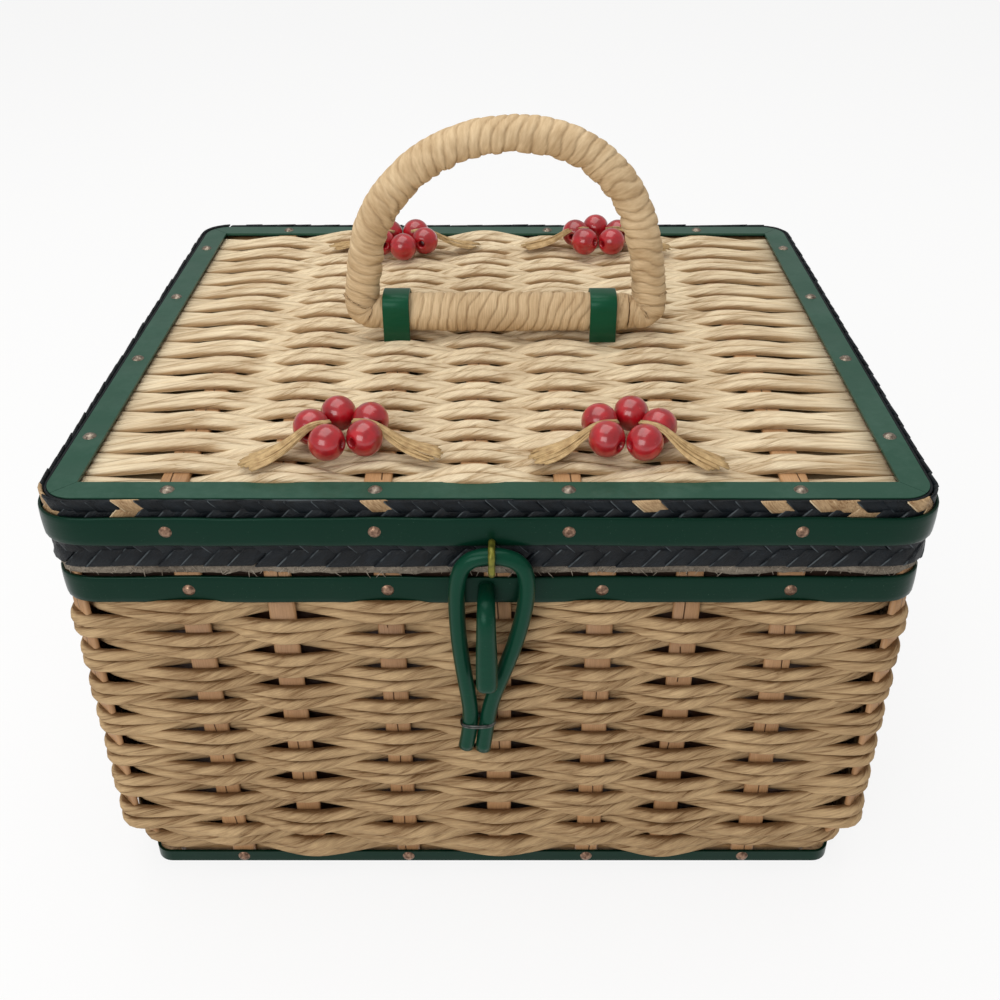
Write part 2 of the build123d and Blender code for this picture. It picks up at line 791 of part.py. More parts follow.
foot_half = loop_wire_r + band_clear
loop_points = []
for sign in (-1, 1):
    leg = [
        (sign * foot_half + lean_at(loop_foot_z), loop_foot_z),
        (sign * foot_half + lean_at(loop_crotch_z), loop_crotch_z),
        (sign * loop_half_width + lean_at(loop_wide_z), loop_wide_z),
        (sign * loop_half_width, loop_top_z),
    ]
    loop_points += leg if sign < 0 else leg[::-1]
with BuildPart() as latch_loop:
    round_sweep(loop_points, bend_radii(loop_points, loop_bend_r, False), loop_plane, loop_wire_r)
save(latch_loop.part, "latch_loop")

with BuildPart() as latch_tie:
    for turn in range(tie_turns):
        tie_height = tie_z + (turn - (tie_turns - 1) / 2) * 2.2 * tie_wire_r
        with BuildSketch(Plane.XY.offset(tie_height - tie_wire_r)):
            with Locations((latch_x + lean_at(tie_height), loop_y)):
                SlotCenterToCenter(2 * foot_half, 2 * (loop_wire_r + 2 * tie_wire_r + band_clear))
                SlotCenterToCenter(2 * foot_half, 2 * (loop_wire_r + band_clear), mode=Mode.SUBTRACT)
        extrude(amount=2 * tie_wire_r)
save(latch_tie.part, "latch_tie")

with BuildPart() as latch_staple:
    low, high = staple_leg_z
    root_y = -(frame_half_y - staple_bite)
    staple_points = [(root_y, low), (staple_y, low), (staple_y, high), (root_y, high)]
    round_sweep(staple_points, [staple_bend_r] * 2, Plane.YZ.offset(latch_x), staple_wire_r)
save(latch_staple.part, "latch_staple")

with BuildPart() as latch_peg:
    peg_root_y = -(wall_half_y + rim_inner)
    with BuildLine(Plane.YZ.offset(peg_x)) as peg_line:
        FilletPolyline(
            (peg_root_y, peg_root_z), (peg_y, peg_root_z), (peg_y, peg_tip_z), radius=peg_bend_r
        )
    peg_path = peg_line.wires()[0]
    with BuildSketch(Plane(origin=peg_path @ 0, x_dir=(1, 0, 0), z_dir=peg_path % 0)) as peg_section:
        RectangleRounded(peg_width, peg_thick, peg_thick / 3)
    sweep(peg_section.sketch, path=peg_path)
save(latch_peg.part, "latch_peg")

# ---- hinges ----
for side, sign in (("left", -1), ("right", 1)):
    near_x = sign * hinge_x - hinge_half_span
    far_x = sign * hinge_x + hinge_half_span
    root_y = wall_half_y - rim_inner - hoop_thick
    with BuildPart() as bracket:
        bracket_points = [
            (near_x, root_y, bracket_leg_z),
            (near_x, hinge_axis_y, bracket_leg_z),
            (near_x, hinge_axis_y, hinge_axis_z),
            (far_x, hinge_axis_y, hinge_axis_z),
            (far_x, hinge_axis_y, bracket_leg_z),
            (far_x, root_y, bracket_leg_z),
        ]
        round_sweep(bracket_points, [bracket_bend_r] * 4, Plane.XY, hinge_pin_r)
    save(bracket.part, f"hinge_bracket_{side}")

    eye_r = hinge_pin_r + hinge_fit + eye_wire_r
    with BuildPart() as eye:
        with Locations((sign * hinge_x, hinge_axis_y, hinge_axis_z)):
            Torus(eye_r, eye_wire_r, rotation=(0, 90, 0))
        shank = [
            (hinge_axis_y, hinge_axis_z + eye_r),
            (hinge_axis_y, eye_leg_z),
            (frame_inner_y, eye_leg_z),
        ]
        round_sweep(shank, [eye_bend_r], Plane.YZ.offset(sign * hinge_x), eye_wire_r)
    save(eye.part, f"hinge_eye_{side}")
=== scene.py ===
"""Looks of a woven sewing basket: hinged lid, wrapped handle, bead clusters, loop-and-peg latch.

Metres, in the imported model's frame: X is the width, Y runs from front to back and Z is up.
"""

import math
import random

import bmesh
import bpy
from mathutils import Matrix, Vector, noise


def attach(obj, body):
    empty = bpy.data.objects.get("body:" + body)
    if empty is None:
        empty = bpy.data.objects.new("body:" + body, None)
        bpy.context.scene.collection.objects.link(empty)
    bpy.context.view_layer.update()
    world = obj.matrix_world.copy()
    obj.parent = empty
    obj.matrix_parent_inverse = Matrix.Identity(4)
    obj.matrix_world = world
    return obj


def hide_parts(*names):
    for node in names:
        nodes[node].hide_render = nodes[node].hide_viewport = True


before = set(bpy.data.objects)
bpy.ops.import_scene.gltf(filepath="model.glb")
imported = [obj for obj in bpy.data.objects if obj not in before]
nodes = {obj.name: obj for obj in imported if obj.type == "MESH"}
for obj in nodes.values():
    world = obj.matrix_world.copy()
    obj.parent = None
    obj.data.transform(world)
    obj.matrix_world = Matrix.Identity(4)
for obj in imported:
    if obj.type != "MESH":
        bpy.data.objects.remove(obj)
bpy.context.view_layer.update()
scene = bpy.context.scene

MM = 0.001
UP = Vector((0, 0, 1))
TURN = 2 * math.pi

# ---- the basket's own sizes ----
WALL_HALF_X = 125.0 * MM  # middle of the side stakes
WALL_HALF_Y = 109.0 * MM
WALL_CORNER_R = 10.0 * MM
STAKE_WIDTH = 8.0 * MM
STAKE_THICK = 2.0 * MM
STAKE_TOP_Z = 130.5 * MM
STAKE_BEND_Z = 22.8 * MM  # below this the wall leans in
STAKE_FOOT_Z = 6.0 * MM
SIDE_FOOT_INSET = 8.0 * MM
FRONT_FOOT_INSET = 5.5 * MM
CORNER_FOOT_INSET = 11.0 * MM
FRONT_STAKE_X = [x * MM for x in (-87.5, -61.5, -29.5, 2.5, 33.0, 58.5, 88.0)]
SIDE_STAKE_PITCH = 29.4 * MM
SIDE_STAKE_COUNT = 6

ROW_Z = [  # where each row starts, the lowest first, and the top of the weave
    z * MM
    for z in (5.0, 14.3, 22.9, 30.9, 38.3, 45.4, 52.3, 59.1, 65.9, 72.6, 79.3, 86.0, 92.6, 99.2, 105.8)
    + (112.3, 118.8)
]
ROW_COUNT = len(ROW_Z) - 1
ROW_LEVEL = 2.9 * MM  # a row's middle, in front of or behind its stake
ROW_BOW = 8.4 * MM  # length that a row lies along its stake
ROW_USUAL_HIGH = 6.9 * MM  # a row this high has cord of the usual thickness
CORD_LOWEST_Z = ROW_Z[0] + 2.4 * MM
FILL_CORNER_R = 5.0 * MM
FILL_Z = (0.5 * MM, 4.4 * MM)
FILL_SIDE = 4.0 * MM  # how far a corner's filler runs on along each side

LID_STAKE_X = [x * MM for x in (-90.0, -60.7, -31.7, -4.4, 22.6, 54.5, 87.7)]
EDGE_STAKE_X = 121.0 * MM
EDGE_STAKE_WIDTH = 7.0 * MM
LID_ROW_COUNT = 31
LID_ROW_SPAN = 203.0 * MM
LID_ROW_HALF_X = 117.3 * MM
LID_ROW_MID_Z = 153.5 * MM
LID_ROW_LEVEL = 2.25 * MM
LID_WEAVE_TOP_Z = 157.2 * MM
LID_CORD_APART = 1.3 * MM  # the two cords of a row at its ends, from the row's middle
LID_END_DROP = 1.0 * MM
LID_STAKE_BEND_R = 3.0 * MM
LID_STAKE_END_Z = 137.0 * MM

EDGE_HALF_X = 125.0 * MM  # core of the lid's edge, under its braids
EDGE_HALF_Y = 110.6 * MM
EDGE_CORNER_R = 9.0 * MM
BAND_THICK = 0.9 * MM
FELT_Z = (130.8 * MM, 133.2 * MM)


class Dice(random.Random):
    def off(self, most):
        """A chance deviation of at most this much."""
        return self.uniform(-most, most)


# ---- shader tools ----
class Socket:
    """An output of a node. Arithmetic on it adds Math nodes to its graph."""

    def __init__(self, graph, socket):
        self.graph = graph
        self.socket = socket

    def __abs__(self):
        return self.graph.math("ABSOLUTE", self)


def arithmetic(operation, swapped=False):
    """A method of Socket: a Math node on it and another value."""

    def method(self, other):
        return self.graph.math(operation, *((other, self) if swapped else (self, other)))

    return method


for sign, operation in (("add", "ADD"), ("sub", "SUBTRACT"), ("mul", "MULTIPLY"), ("pow", "POWER")):
    setattr(Socket, f"__{sign}__", arithmetic(operation))
    setattr(Socket, f"__r{sign}__", arithmetic(operation, swapped=True))


class Graph:
    """The nodes of a material or the world while they are made."""

    def __init__(self, owner):
        owner.use_nodes = True
        self.tree = owner.node_tree
        self.tree.nodes.clear()

    def node(self, kind, values=None, out=0, **settings):
        """Adds a node: its settings first, then its sockets' values or links."""
        made = self.tree.nodes.new("ShaderNode" + kind)
        for key, value in settings.items():
            setattr(made, key, value)
        for key, value in (values or {}).items():
            if isinstance(value, Socket):
                self.tree.links.new(value.socket, made.inputs[key])
            else:
                made.inputs[key].default_value = value
        return Socket(self, made.outputs[out]) if made.outputs else None

    def math(self, operation, *values):
        return self.node("Math", dict(enumerate(values)), operation=operation)

    def clamp(self, value):
        return self.node("Clamp", {0: value})

    def mix(self, share, first, second):
        """A colour between two colours."""
        return self.node("Mix", {0: share, 6: first, 7: second}, out=2, data_type="RGBA")

    def circle(self, angle):
        """The cosine and sine of an angle."""
        return self.math("COSINE", angle), self.math("SINE", angle)

    def vector(self, x, y, z):
        return self.node("CombineXYZ", {0: x, 1: y, 2: z})

    def parts(self, vector):
        """The three numbers of a vector."""
        split = self.node("SeparateXYZ", {0: vector})
        return [Socket(self, socket) for socket in split.socket.node.outputs]

    def seen_by(self, *rays):
        """1 for these two kinds of light path."""
        path = self.tree.nodes.new("ShaderNodeLightPath")
        return self.math("MAXIMUM", *(Socket(self, path.outputs[ray]) for ray in rays))

    def place(self):
        """A point's place on the object, in metres."""
        return self.node("TexCoord", out="Object")

    def uv(self):
        return self.node("UVMap", uv_map="UVMap")

    def mark(self, name):
        """A value that the mesh carries at its points."""
        return self.node("Attribute", out="Fac", attribute_name=name)

    def stretched(self, vector, scale):
        """A vector multiplied by a scale along each axis."""
        return self.node("VectorMath", {0: vector, 1: scale}, operation="MULTIPLY")

    def grain(self, vector, scale, detail=3.0, rough=0.5):
        """Soft noise from 0 to 1."""
        values = {"Vector": vector, "Scale": scale, "Detail": detail, "Roughness": rough}
        return self.node("TexNoise", values)

    def contrast(self, value, low, high):
        """The value spread from low to high over 0 to 1."""
        return self.node("MapRange", {0: value, 1: low, 2: high, 3: 0.0, 4: 1.0})


FINISHES = {}


class Finish(Graph):
    """A material while it is made: its two main colours, and fixed values for its shader."""

    def __init__(self, name, pale=0, dark=0, **fixed):
        self.colours = rgb(dark), rgb(pale)
        FINISHES[name] = bpy.data.materials.new(name)
        super().__init__(FINISHES[name])
        self.shader = self.tree.nodes.new("ShaderNodeBsdfPrincipled")
        self.output = self.tree.nodes.new("ShaderNodeOutputMaterial")
        self.tree.links.new(self.shader.outputs[0], self.output.inputs["Surface"])
        for socket, value in fixed.items():
            self.shader.inputs[socket.replace("_", " ")].default_value = value

    def paint(self, socket, value):
        """Feeds one of the shader's sockets."""
        self.tree.links.new(value.socket, self.shader.inputs[socket])

    def tone(self, share):
        """The dark colour at 0 and the pale one at 1."""
        return self.mix(share, *self.colours)

    def surface(self, colour, height, distance):
        """Feeds the colour and a bump."""
        self.paint("Base Color", colour)
        values = {"Height": height, "Distance": distance, "Strength": 1.0}
        self.paint("Normal", self.node("Bump", values))


def rgb(code):
    """A screen's colour code made linear."""
    shares = [value / 255 for value in code.to_bytes(3, "big")]
    return (*(s / 12.92 if s <= 0.04045 else ((s + 0.055) / 1.055) ** 2.4 for s in shares), 1.0)


# ---- finishes ----
def twisted_paper(name, pale, dark, length, twist, flat):
    """Twisted paper cord. The UV map runs along the cord and round it; twist is turns per metre.
    Fibres and creases follow the twist, which starts elsewhere on each cord; the creases are darkened with
    painted shade. The sides that touch the next cord are darker with painted shade; flat is 0 where rows
    lie above each other and 0.25 where they lie flat."""
    f = Finish(name, pale, dark, Roughness=0.82, Specular_IOR_Level=0.2)
    along, around, _ = f.parts(f.uv())
    run = along * length
    start = f.mark("start")
    angle = (around + run * twist + start) * TURN
    cosine, sine = f.circle(angle)
    fibre = f.grain(f.vector(cosine * 7.0, sine * 7.0, run * 120.0 + start * 70.0), 1.0, 4.0, 0.65)
    crumple = f.grain(f.vector(cosine * 1.7, sine * 1.7, run * 190.0 + start * 90.0), 1.0, 3.0, 0.6)
    wander = f.grain(f.vector(cosine, sine, run * 45.0 + start * 30.0), 1.0, 2.0)
    # fold marks the twist's creases: it dents the bump and darkens the colour there as painted shade
    fold = abs(f.math("SINE", angle + wander * 5.0)) ** 0.3
    patch = f.grain(f.place(), 38.0, 2.0)
    # painted shade on the sides where the cord touches the next cord
    painted_contact_shade = abs(f.math("SINE", (around + flat) * TURN)) ** 7.0
    tone = f.contrast(fibre * 0.5 + crumple * 0.4 + patch * 0.35 + fold * 0.3, 0.62, 1.06)
    colour = f.tone(f.clamp(tone - painted_contact_shade * 0.7))
    f.surface(colour, fibre * 0.5 + crumple * 0.7 + fold * 0.6, 0.55 * MM)


def split_willow(name, pale, dark, split):
    """Split willow: fine grain along the UV map's first axis, and now and then a dark split."""
    f = Finish(name, pale, dark, Roughness=0.42, Specular_IOR_Level=0.4)
    along, across, _ = f.parts(f.uv())
    grain = f.grain(f.vector(along * 1.2, across * 22.0, 0.0), 1.0, 4.0, 0.65)
    spot = f.place()
    shade = f.grain(spot, 26.0, 1.0)
    wood = f.tone(f.contrast(grain * 0.6 + shade * 0.6, 0.35, 0.85))
    line = abs(across - (0.1 + shade * 0.8)) + f.contrast(f.grain(spot, 70.0, 1.0), 0.5, 0.55) * 0.2
    crack = f.contrast(line, 0.0, split)
    f.surface(f.mix(crack, rgb(0x3A2416), wood), grain * 0.4 + crack, 0.4 * MM)


def plain_wood(name, pale, dark, stretch):
    """Sawn or bent wood; the stretch is its grain's scale along X, Y and Z."""
    f = Finish(name, pale, dark, Roughness=0.55)
    grain = f.grain(f.stretched(f.place(), stretch), 1.0, 5.0, 0.6)
    f.surface(f.tone(f.contrast(grain, 0.3, 0.75)), grain, 0.25 * MM)


def glossy_plastic(name, faded, colour):
    """Glossy green plastic strip with faint waves, scuffs and dust."""
    f = Finish(name, faded, colour, Specular_IOR_Level=0.16, Coat_Roughness=0.2)
    f.shader.inputs["Specular Tint"].default_value = (0.35, 1.0, 0.75, 1.0)
    place = f.place()
    waves = f.grain(place, 48.0, 1.0)
    scuff = f.grain(f.stretched(place, (300.0, 300.0, 1300.0)), 1.0, 3.0, 0.7)
    speck = f.contrast(f.grain(place, 2600.0, 1.0), 0.74, 0.80)
    wear = f.contrast(scuff * 0.5 + waves * 0.6, 0.5, 0.95)
    body = f.tone(wear * 0.6)
    f.paint("Roughness", 0.28 + wear * 0.16 + speck * 0.3)
    f.paint("Coat Weight", 0.12 - wear * 0.07)
    f.surface(f.mix(speck * 0.25, body, rgb(0x6E8C7A)), waves + scuff * 0.04, 0.9 * MM)


def plaited_straw(name, pale, dark, line, sheen):
    """Flat straw. The UV map runs across a stitch and along it, and its near edge carries a painted
    highlight in the line colour.
    """
    f = Finish(name, pale, dark, Roughness=sheen, Specular_IOR_Level=0.22)
    across, along, _ = f.parts(f.uv())
    place = f.place()
    ribs = f.grain(f.vector(across * 14.0, along * 1.5, f.grain(place, 90.0, 0.0) * 30.0), 1.0, 3.0, 0.6)
    patch = f.grain(place, 190.0, 2.0)
    straw = f.tone(f.contrast(ribs * 0.7 + patch * 0.5, 0.42, 0.86))
    # painted highlight: a pale line along each stitch's near edge, broken up by noise
    rim = f.contrast(abs(across - 0.05), 0.05, 0.0) * f.contrast(f.grain(place, 240.0, 1.0), 0.42, 0.6)
    f.surface(f.mix(rim, straw, rgb(line)), ribs, 0.3 * MM)


METALS = {  # tarnish's scale, roughness where dark, its change where bright, depth
    "bronze": (900.0, 0.5, -0.18, 0.08 * MM),
    "wire": (420.0, 0.3, 0.2, 0.05 * MM),
}


def tarnished(kind, name, bright, dark, metallic):
    """Metal with patches of tarnish."""
    scale, rough, change, depth = METALS[kind]
    f = Finish(name, bright, dark, Metallic=metallic)
    patina = f.contrast(f.grain(f.place(), scale, 3.0), 0.35, 0.7)
    f.paint("Roughness", rough + patina * change)
    f.surface(f.tone(patina), patina, depth)


def painted_bead(name, bright, deep):
    """Glossy paint, cloudy and nicked."""
    f = Finish(name, bright, deep, Roughness=0.3, Coat_Weight=0.8, Coat_Roughness=0.08)
    place = f.place()
    cloud = f.contrast(f.grain(place, 260.0, 2.0), 0.3, 0.7)
    nick = f.contrast(f.grain(place, 1500.0, 1.0), 0.76, 0.8)
    f.surface(f.mix(nick * 0.5, f.tone(cloud), rgb(0xCD968C)), cloud, 0.12 * MM)


def dry_raffia(name, pale, dark):
    """Dry straw with fibres along the UV map's first axis."""
    f = Finish(name, pale, dark, Roughness=0.6)
    along, across, _ = f.parts(f.uv())
    place = f.place()
    tint = f.grain(place, 500.0, 2.0)
    fibre = f.grain(f.vector(along * 3.0, across * 14.0, 0.0), 1.0, 3.0)
    f.surface(f.tone(f.contrast(tint * 0.6 + fibre * 0.5, 0.35, 0.8)), fibre, 0.15 * MM)


def felted(name, pale, dark):
    """Fluffy wool felt."""
    f = Finish(name, pale, dark, Roughness=0.95, Specular_IOR_Level=0.1)
    place = f.place()
    fluff = f.grain(place, 700.0, 5.0, 0.7)
    patch = f.grain(place, 60.0, 2.0)
    f.surface(f.tone(f.contrast(fluff * 0.6 + patch * 0.5, 0.3, 0.8)), fluff, 0.9 * MM)


def quilted_satin(name, pale, dark, seam):
    """Satin with a fine weave; the seam attribute marks the sewn lines of its quilting."""
    f = Finish(name, pale, dark, Roughness=0.4, Sheen_Weight=0.2, Sheen_Roughness=0.4)
    place = f.place()
    thread = f.grain(f.stretched(place, (900.0, 900.0, 5200.0)), 1.0, 2.0)
    pucker = f.grain(place, 190.0, 3.0)
    sewn = f.mark("seam")
    satin = f.tone(f.contrast(thread * 0.4 + pucker * 0.6, 0.3, 0.75))
    stitches = sewn * f.contrast(f.grain(place, 620.0, 0.0), 0.4, 0.55)
    colour = f.mix(stitches * 0.7, satin, rgb(seam))
    f.surface(colour, pucker + thread * 0.15 - sewn * 0.4, 0.5 * MM)


def wrapping_paper(name, pale, dark, length, fibres):
    """Paper strip wound round a bar: the fibres run round it, and a mark at its edges darkens the creases
    between turns with painted shade.
    """
    f = Finish(name, pale, dark, Roughness=0.75, Specular_IOR_Level=0.25)
    along, around, _ = f.parts(f.uv())
    angle = around * TURN
    run = along * length + around * 6.5 * MM
    cosine, sine = f.circle(angle)
    streak = f.grain(f.vector(cosine * 0.9, sine * 0.9, run * fibres), 1.0, 4.0, 0.6)
    patch = f.grain(f.place(), 70.0, 2.0)
    painted_crease_shade = f.mark("painted_crease_shade")
    paper = f.tone(f.contrast(streak * 0.7 + patch * 0.45, 0.32, 0.82))
    # painted shade: the creases between turns are mixed towards dark brown
    colour = f.mix(painted_crease_shade * 0.7, paper, rgb(0x80603C))
    f.surface(colour, streak * 0.6 + patch * 0.3, 0.35 * MM)


# ---- mesh tools ----
def linked(name, data):
    """A new object in the scene."""
    made = bpy.data.objects.new(name, data)
    scene.collection.objects.link(made)
    return made


def profile(points):
    """A closed profile for a sweep."""
    curve = bpy.data.curves.new("profile", "CURVE")
    spline = curve.splines.new("POLY")
    spline.points.add(len(points) - 1)
    spline.use_cyclic_u = True
    for point, (x, y) in zip(spline.points, points):
        point.co = (x, y, 0.0, 1.0)
    return curve


def oval(half_wide, half_high, sides):
    angles = [-TURN * i / sides for i in range(sides)]
    return profile([(half_wide * math.cos(angle), half_high * math.sin(angle)) for angle in angles])


def strip(half_wide, half_high, crown):
    """A flat strip with eased edges, its outer face raised by the crown."""
    shares = (-1.0, -0.92, -0.6, -0.2, 0.2, 0.6, 0.92, 1.0)
    outer = [
        (half_wide * (0.65 if abs(s) == 1 else 1.0) + crown * (1 - s * s), s * half_high) for s in shares
    ]
    inner = [(-half_wide, s * half_high) for s in reversed(shares)]
    return profile(list(reversed(outer + inner)))


def sweep(name, runs, section, closed=False, steps=4, twist="Z_UP"):
    """One mesh of smooth tubes. Each run is a list of points, each with the profile's scale and tilt.
    The start attribute is a share of a turn, another one for each tube."""
    line = bpy.data.curves.new(name, "CURVE")
    line.dimensions = "3D"
    line.twist_mode = twist
    line.resolution_u = steps
    line.bevel_mode = "OBJECT"
    line.bevel_object = linked("profile", section)
    line.use_fill_caps = not closed
    for run in runs:
        spline = line.splines.new("NURBS")
        spline.points.add(len(run) - 1)
        for point, (place, scale, *tilt) in zip(spline.points, run):
            point.co = (*place, 1.0)
            point.radius = scale
            point.tilt = sum(tilt)
        spline.use_cyclic_u = closed
        spline.order_u = min(4, len(run))
        spline.use_endpoint_u = not closed
    maker = linked(name + "_line", line)
    graph = bpy.context.evaluated_depsgraph_get()
    mesh = bpy.data.meshes.new_from_object(maker.evaluated_get(graph))
    bpy.data.objects.remove(line.bevel_object)
    bpy.data.objects.remove(maker)
    bpy.data.curves.remove(line)
    bpy.data.curves.remove(section)
    mesh.materials.clear()
    tidy(mesh, "start")
    return mesh


def tidy(mesh, label=None):
    """Merges doubled points and turns the faces outwards. A label is an attribute that gives each
    loose part of the mesh another value from 0 to 1."""
    bm = bmesh.new()
    bm.from_mesh(mesh)
    bmesh.ops.remove_doubles(bm, verts=bm.verts, dist=0.001 * MM)
    bmesh.ops.recalc_face_normals(bm, faces=bm.faces)
    if label:
        layer = bm.verts.layers.float.new(label)
        value = 0.0
        for first in bm.verts:
            if first.tag:
                continue
            value = (value + 0.618) % 1.0
            first.tag = True
            reached = [first]
            while reached:
                vert = reached.pop()
                vert[layer] = value
                for edge in vert.link_edges:
                    other = edge.other_vert(vert)
                    if not other.tag:
                        other.tag = True
                        reached.append(other)
    bm.to_mesh(mesh)
    bm.free()


def meshed(name, bm):
    """A mesh from a bmesh."""
    mesh = bpy.data.meshes.new(name)
    bm.to_mesh(mesh)
    bm.free()
    return mesh


def finished(name, bm):
    """A smooth-shaded mesh from a bmesh, its faces turned outwards."""
    bmesh.ops.recalc_face_normals(bm, faces=bm.faces)
    mesh = meshed(name, bm)
    mesh.shade_smooth()
    return mesh


def solid(name, mesh, finishes, body, slot, *stands_for):
    """Puts a mesh in the scene as a piece that rides on a body, in the finishes named."""
    mesh.name = name
    for finish in finishes.split():
        mesh.materials.append(FINISHES[finish])
    piece = linked(name, mesh)
    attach(piece, body)
    if stands_for:
        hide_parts(*stands_for)
    return piece


def gather(name, meshes):
    """One smooth mesh from several."""
    bm = bmesh.new()
    for mesh in meshes:
        bm.from_mesh(mesh)
        bpy.data.meshes.remove(mesh)
    whole = meshed(name, bm)
    whole.shade_smooth()
    return whole


def thicken(bm, height):
    """Closes a flat bmesh into a slab by a copy of its faces, higher up."""
    grown = bmesh.ops.extrude_face_region(bm, geom=bm.faces[:])
    top = [part for part in grown["geom"] if isinstance(part, bmesh.types.BMVert)]
    bmesh.ops.translate(bm, vec=UP * height, verts=top)


def block(size, lengthwise, offset, segments):
    """A bmesh of a block with all its edges bevelled, or only the long ones along Y."""
    bm = bmesh.new()
    bmesh.ops.create_cube(bm, size=1.0)
    bmesh.ops.scale(bm, vec=size, verts=bm.verts)
    edges = [
        edge for edge in bm.edges
        if not lengthwise or abs(edge.verts[0].co.y - edge.verts[1].co.y) > 0.5 * size[1]
    ]
    bmesh.ops.bevel(
        bm, geom=edges, offset=offset, segments=segments, affect="EDGES", profile=0.5, material=-1
    )
    return bm


def slice_across(bm, cuts, axis):
    """Cuts a bmesh at places along an axis, so that it can bend there."""
    for place in cuts:
        geom = bm.verts[:] + bm.edges[:] + bm.faces[:]
        bmesh.ops.bisect_plane(bm, geom=geom, plane_co=axis * place, plane_no=axis)


def lay_map(bm, place):
    """Gives a bmesh its UV map; place turns a point into its place on the map."""
    layer = bm.loops.layers.uv.new("UVMap")
    for face in bm.faces:
        for loop in face.loops:
            loop[layer].uv = place(loop.vert.co)


def bar(long, wide, thick, cuts, put, seed):
    """A flat bar with eased edges; put places a point from its share across, along and outwards."""
    bm = block((wide, long, thick), True, 0.4 * thick, 2)
    slice_across(bm, cuts, Vector((0, 1, 0)))
    lay_map(bm, lambda co: (co.y / wide + 3.7 * seed, co.x / wide + 0.5))
    for vert in bm.verts:
        vert.co = put(*vert.co)
    return finished("bar", bm)


class Edge:
    """A rounded rectangle. A run along it starts at the front left."""

    def __init__(self, half_x, half_y, radius):
        self.half = (half_x, half_y)
        self.radius = radius
        self.bend = TURN / 4 * radius
        self.straights = [2 * (half - radius) for half in self.half]
        self.length = 2 * sum(self.straights) + 4 * self.bend

    def at(self, run):
        """The place at a run and its outward direction."""
        run %= self.length
        for quarter in range(4):
            straight = self.straights[quarter % 2]
            half_out = self.half[1 - quarter % 2]
            turned = Matrix.Rotation(quarter * TURN / 4, 3, "Z")
            out = turned @ Vector((0, -1, 0))
            ahead = turned @ Vector((1, 0, 0))
            if run <= straight:
                return out * half_out + ahead * (run - straight / 2), out
            run -= straight
            if run <= self.bend:
                lean = Matrix.Rotation(run / self.radius, 3, "Z") @ out
                return out * (half_out - self.radius) + ahead * straight / 2 + lean * self.radius, lean
            run -= self.bend

    def around(self, count):
        """Evenly spaced places and directions."""
        return [self.at(self.length * i / count) for i in range(count)]


# ---- the basket's stakes ----
def stake_sites():
    """Every body stake in order: its side, its spot, its outward direction and its foot's inset."""
    side_y = [(i - (SIDE_STAKE_COUNT - 1) / 2) * SIDE_STAKE_PITCH for i in range(SIDE_STAKE_COUNT)]
    walls = (
        ("front", (-1, -1), (0, -1), FRONT_STAKE_X, FRONT_FOOT_INSET),
        ("right", (1, -1), (1, 0), side_y, SIDE_FOOT_INSET),
        ("back", (1, 1), (0, 1), FRONT_STAKE_X[::-1], FRONT_FOOT_INSET),
        ("left", (-1, 1), (-1, 0), side_y[::-1], SIDE_FOOT_INSET),
    )
    sites = []
    for side, (x, y), (out_x, out_y), spots, foot in walls:
        lean = Vector((x, y, 0)).normalized()
        middle = Vector((x * (WALL_HALF_X - WALL_CORNER_R), y * (WALL_HALF_Y - WALL_CORNER_R), 0))
        sites.append(("corner", middle + lean * WALL_CORNER_R, lean, CORNER_FOOT_INSET))
        for spot in spots:
            place = Vector((out_x * WALL_HALF_X or spot, out_y * WALL_HALF_Y or spot, 0))
            sites.append((side, place, Vector((out_x, out_y, 0)), foot))
    return sites


SITES = stake_sites()


def inset_at(z, foot):
    """How far the wall has leaned in at a height."""
    share = (STAKE_BEND_Z - z) / (STAKE_BEND_Z - STAKE_FOOT_Z)
    return foot * min(max(share, 0.0), 1.0)


def body_stakes():
    """The split stakes of the walls, which lean in at their feet."""
    half = STAKE_TOP_Z / 2
    cuts = [z * MM - half for z in (6.0, 8.0, 11.0, 15.0, 19.0, 21.5, 24.0)]
    for node in ("stakes_front", "stakes_back", "stakes_left", "stakes_right", "corner_stakes"):
        made = []
        for i, (side, spot, out, foot) in enumerate(SITES):
            if side not in node:
                continue

            def put(across, along, away):
                z = along + half
                return spot + UP.cross(out) * across + out * (away - inset_at(z, foot)) + UP * z

            made.append(bar(2 * half - 0.1 * MM, STAKE_WIDTH, STAKE_THICK, cuts, put, i))
        solid(node + "_split", gather(node, made), "willow", "basket", "stake_wood", node)


def corner_fills():
    """Filler pieces between the base board's cut corners and the band round them."""
    half_x = WALL_HALF_X - SIDE_FOOT_INSET + BAND_THICK
    half_y = WALL_HALF_Y - FRONT_FOOT_INSET + BAND_THICK
    edge = Edge(half_x, half_y, FILL_CORNER_R)
    made = []
    start = edge.straights[0]
    for straight in edge.straights[::-1] * 2:
        bm = bmesh.new()
        runs = [start + edge.bend * i / 8 for i in range(9)]
        runs = [start - FILL_SIDE, *runs, start + edge.bend + FILL_SIDE]
        bm.faces.new([bm.verts.new(edge.at(run)[0] + UP * FILL_Z[0]) for run in runs])
        thicken(bm, FILL_Z[1] - FILL_Z[0])
        made.append(finished("fill", bm))
        start += edge.bend + straight
    solid("base_corner_fills", gather("fills", made), "cord_ends", "basket", "board_wood")


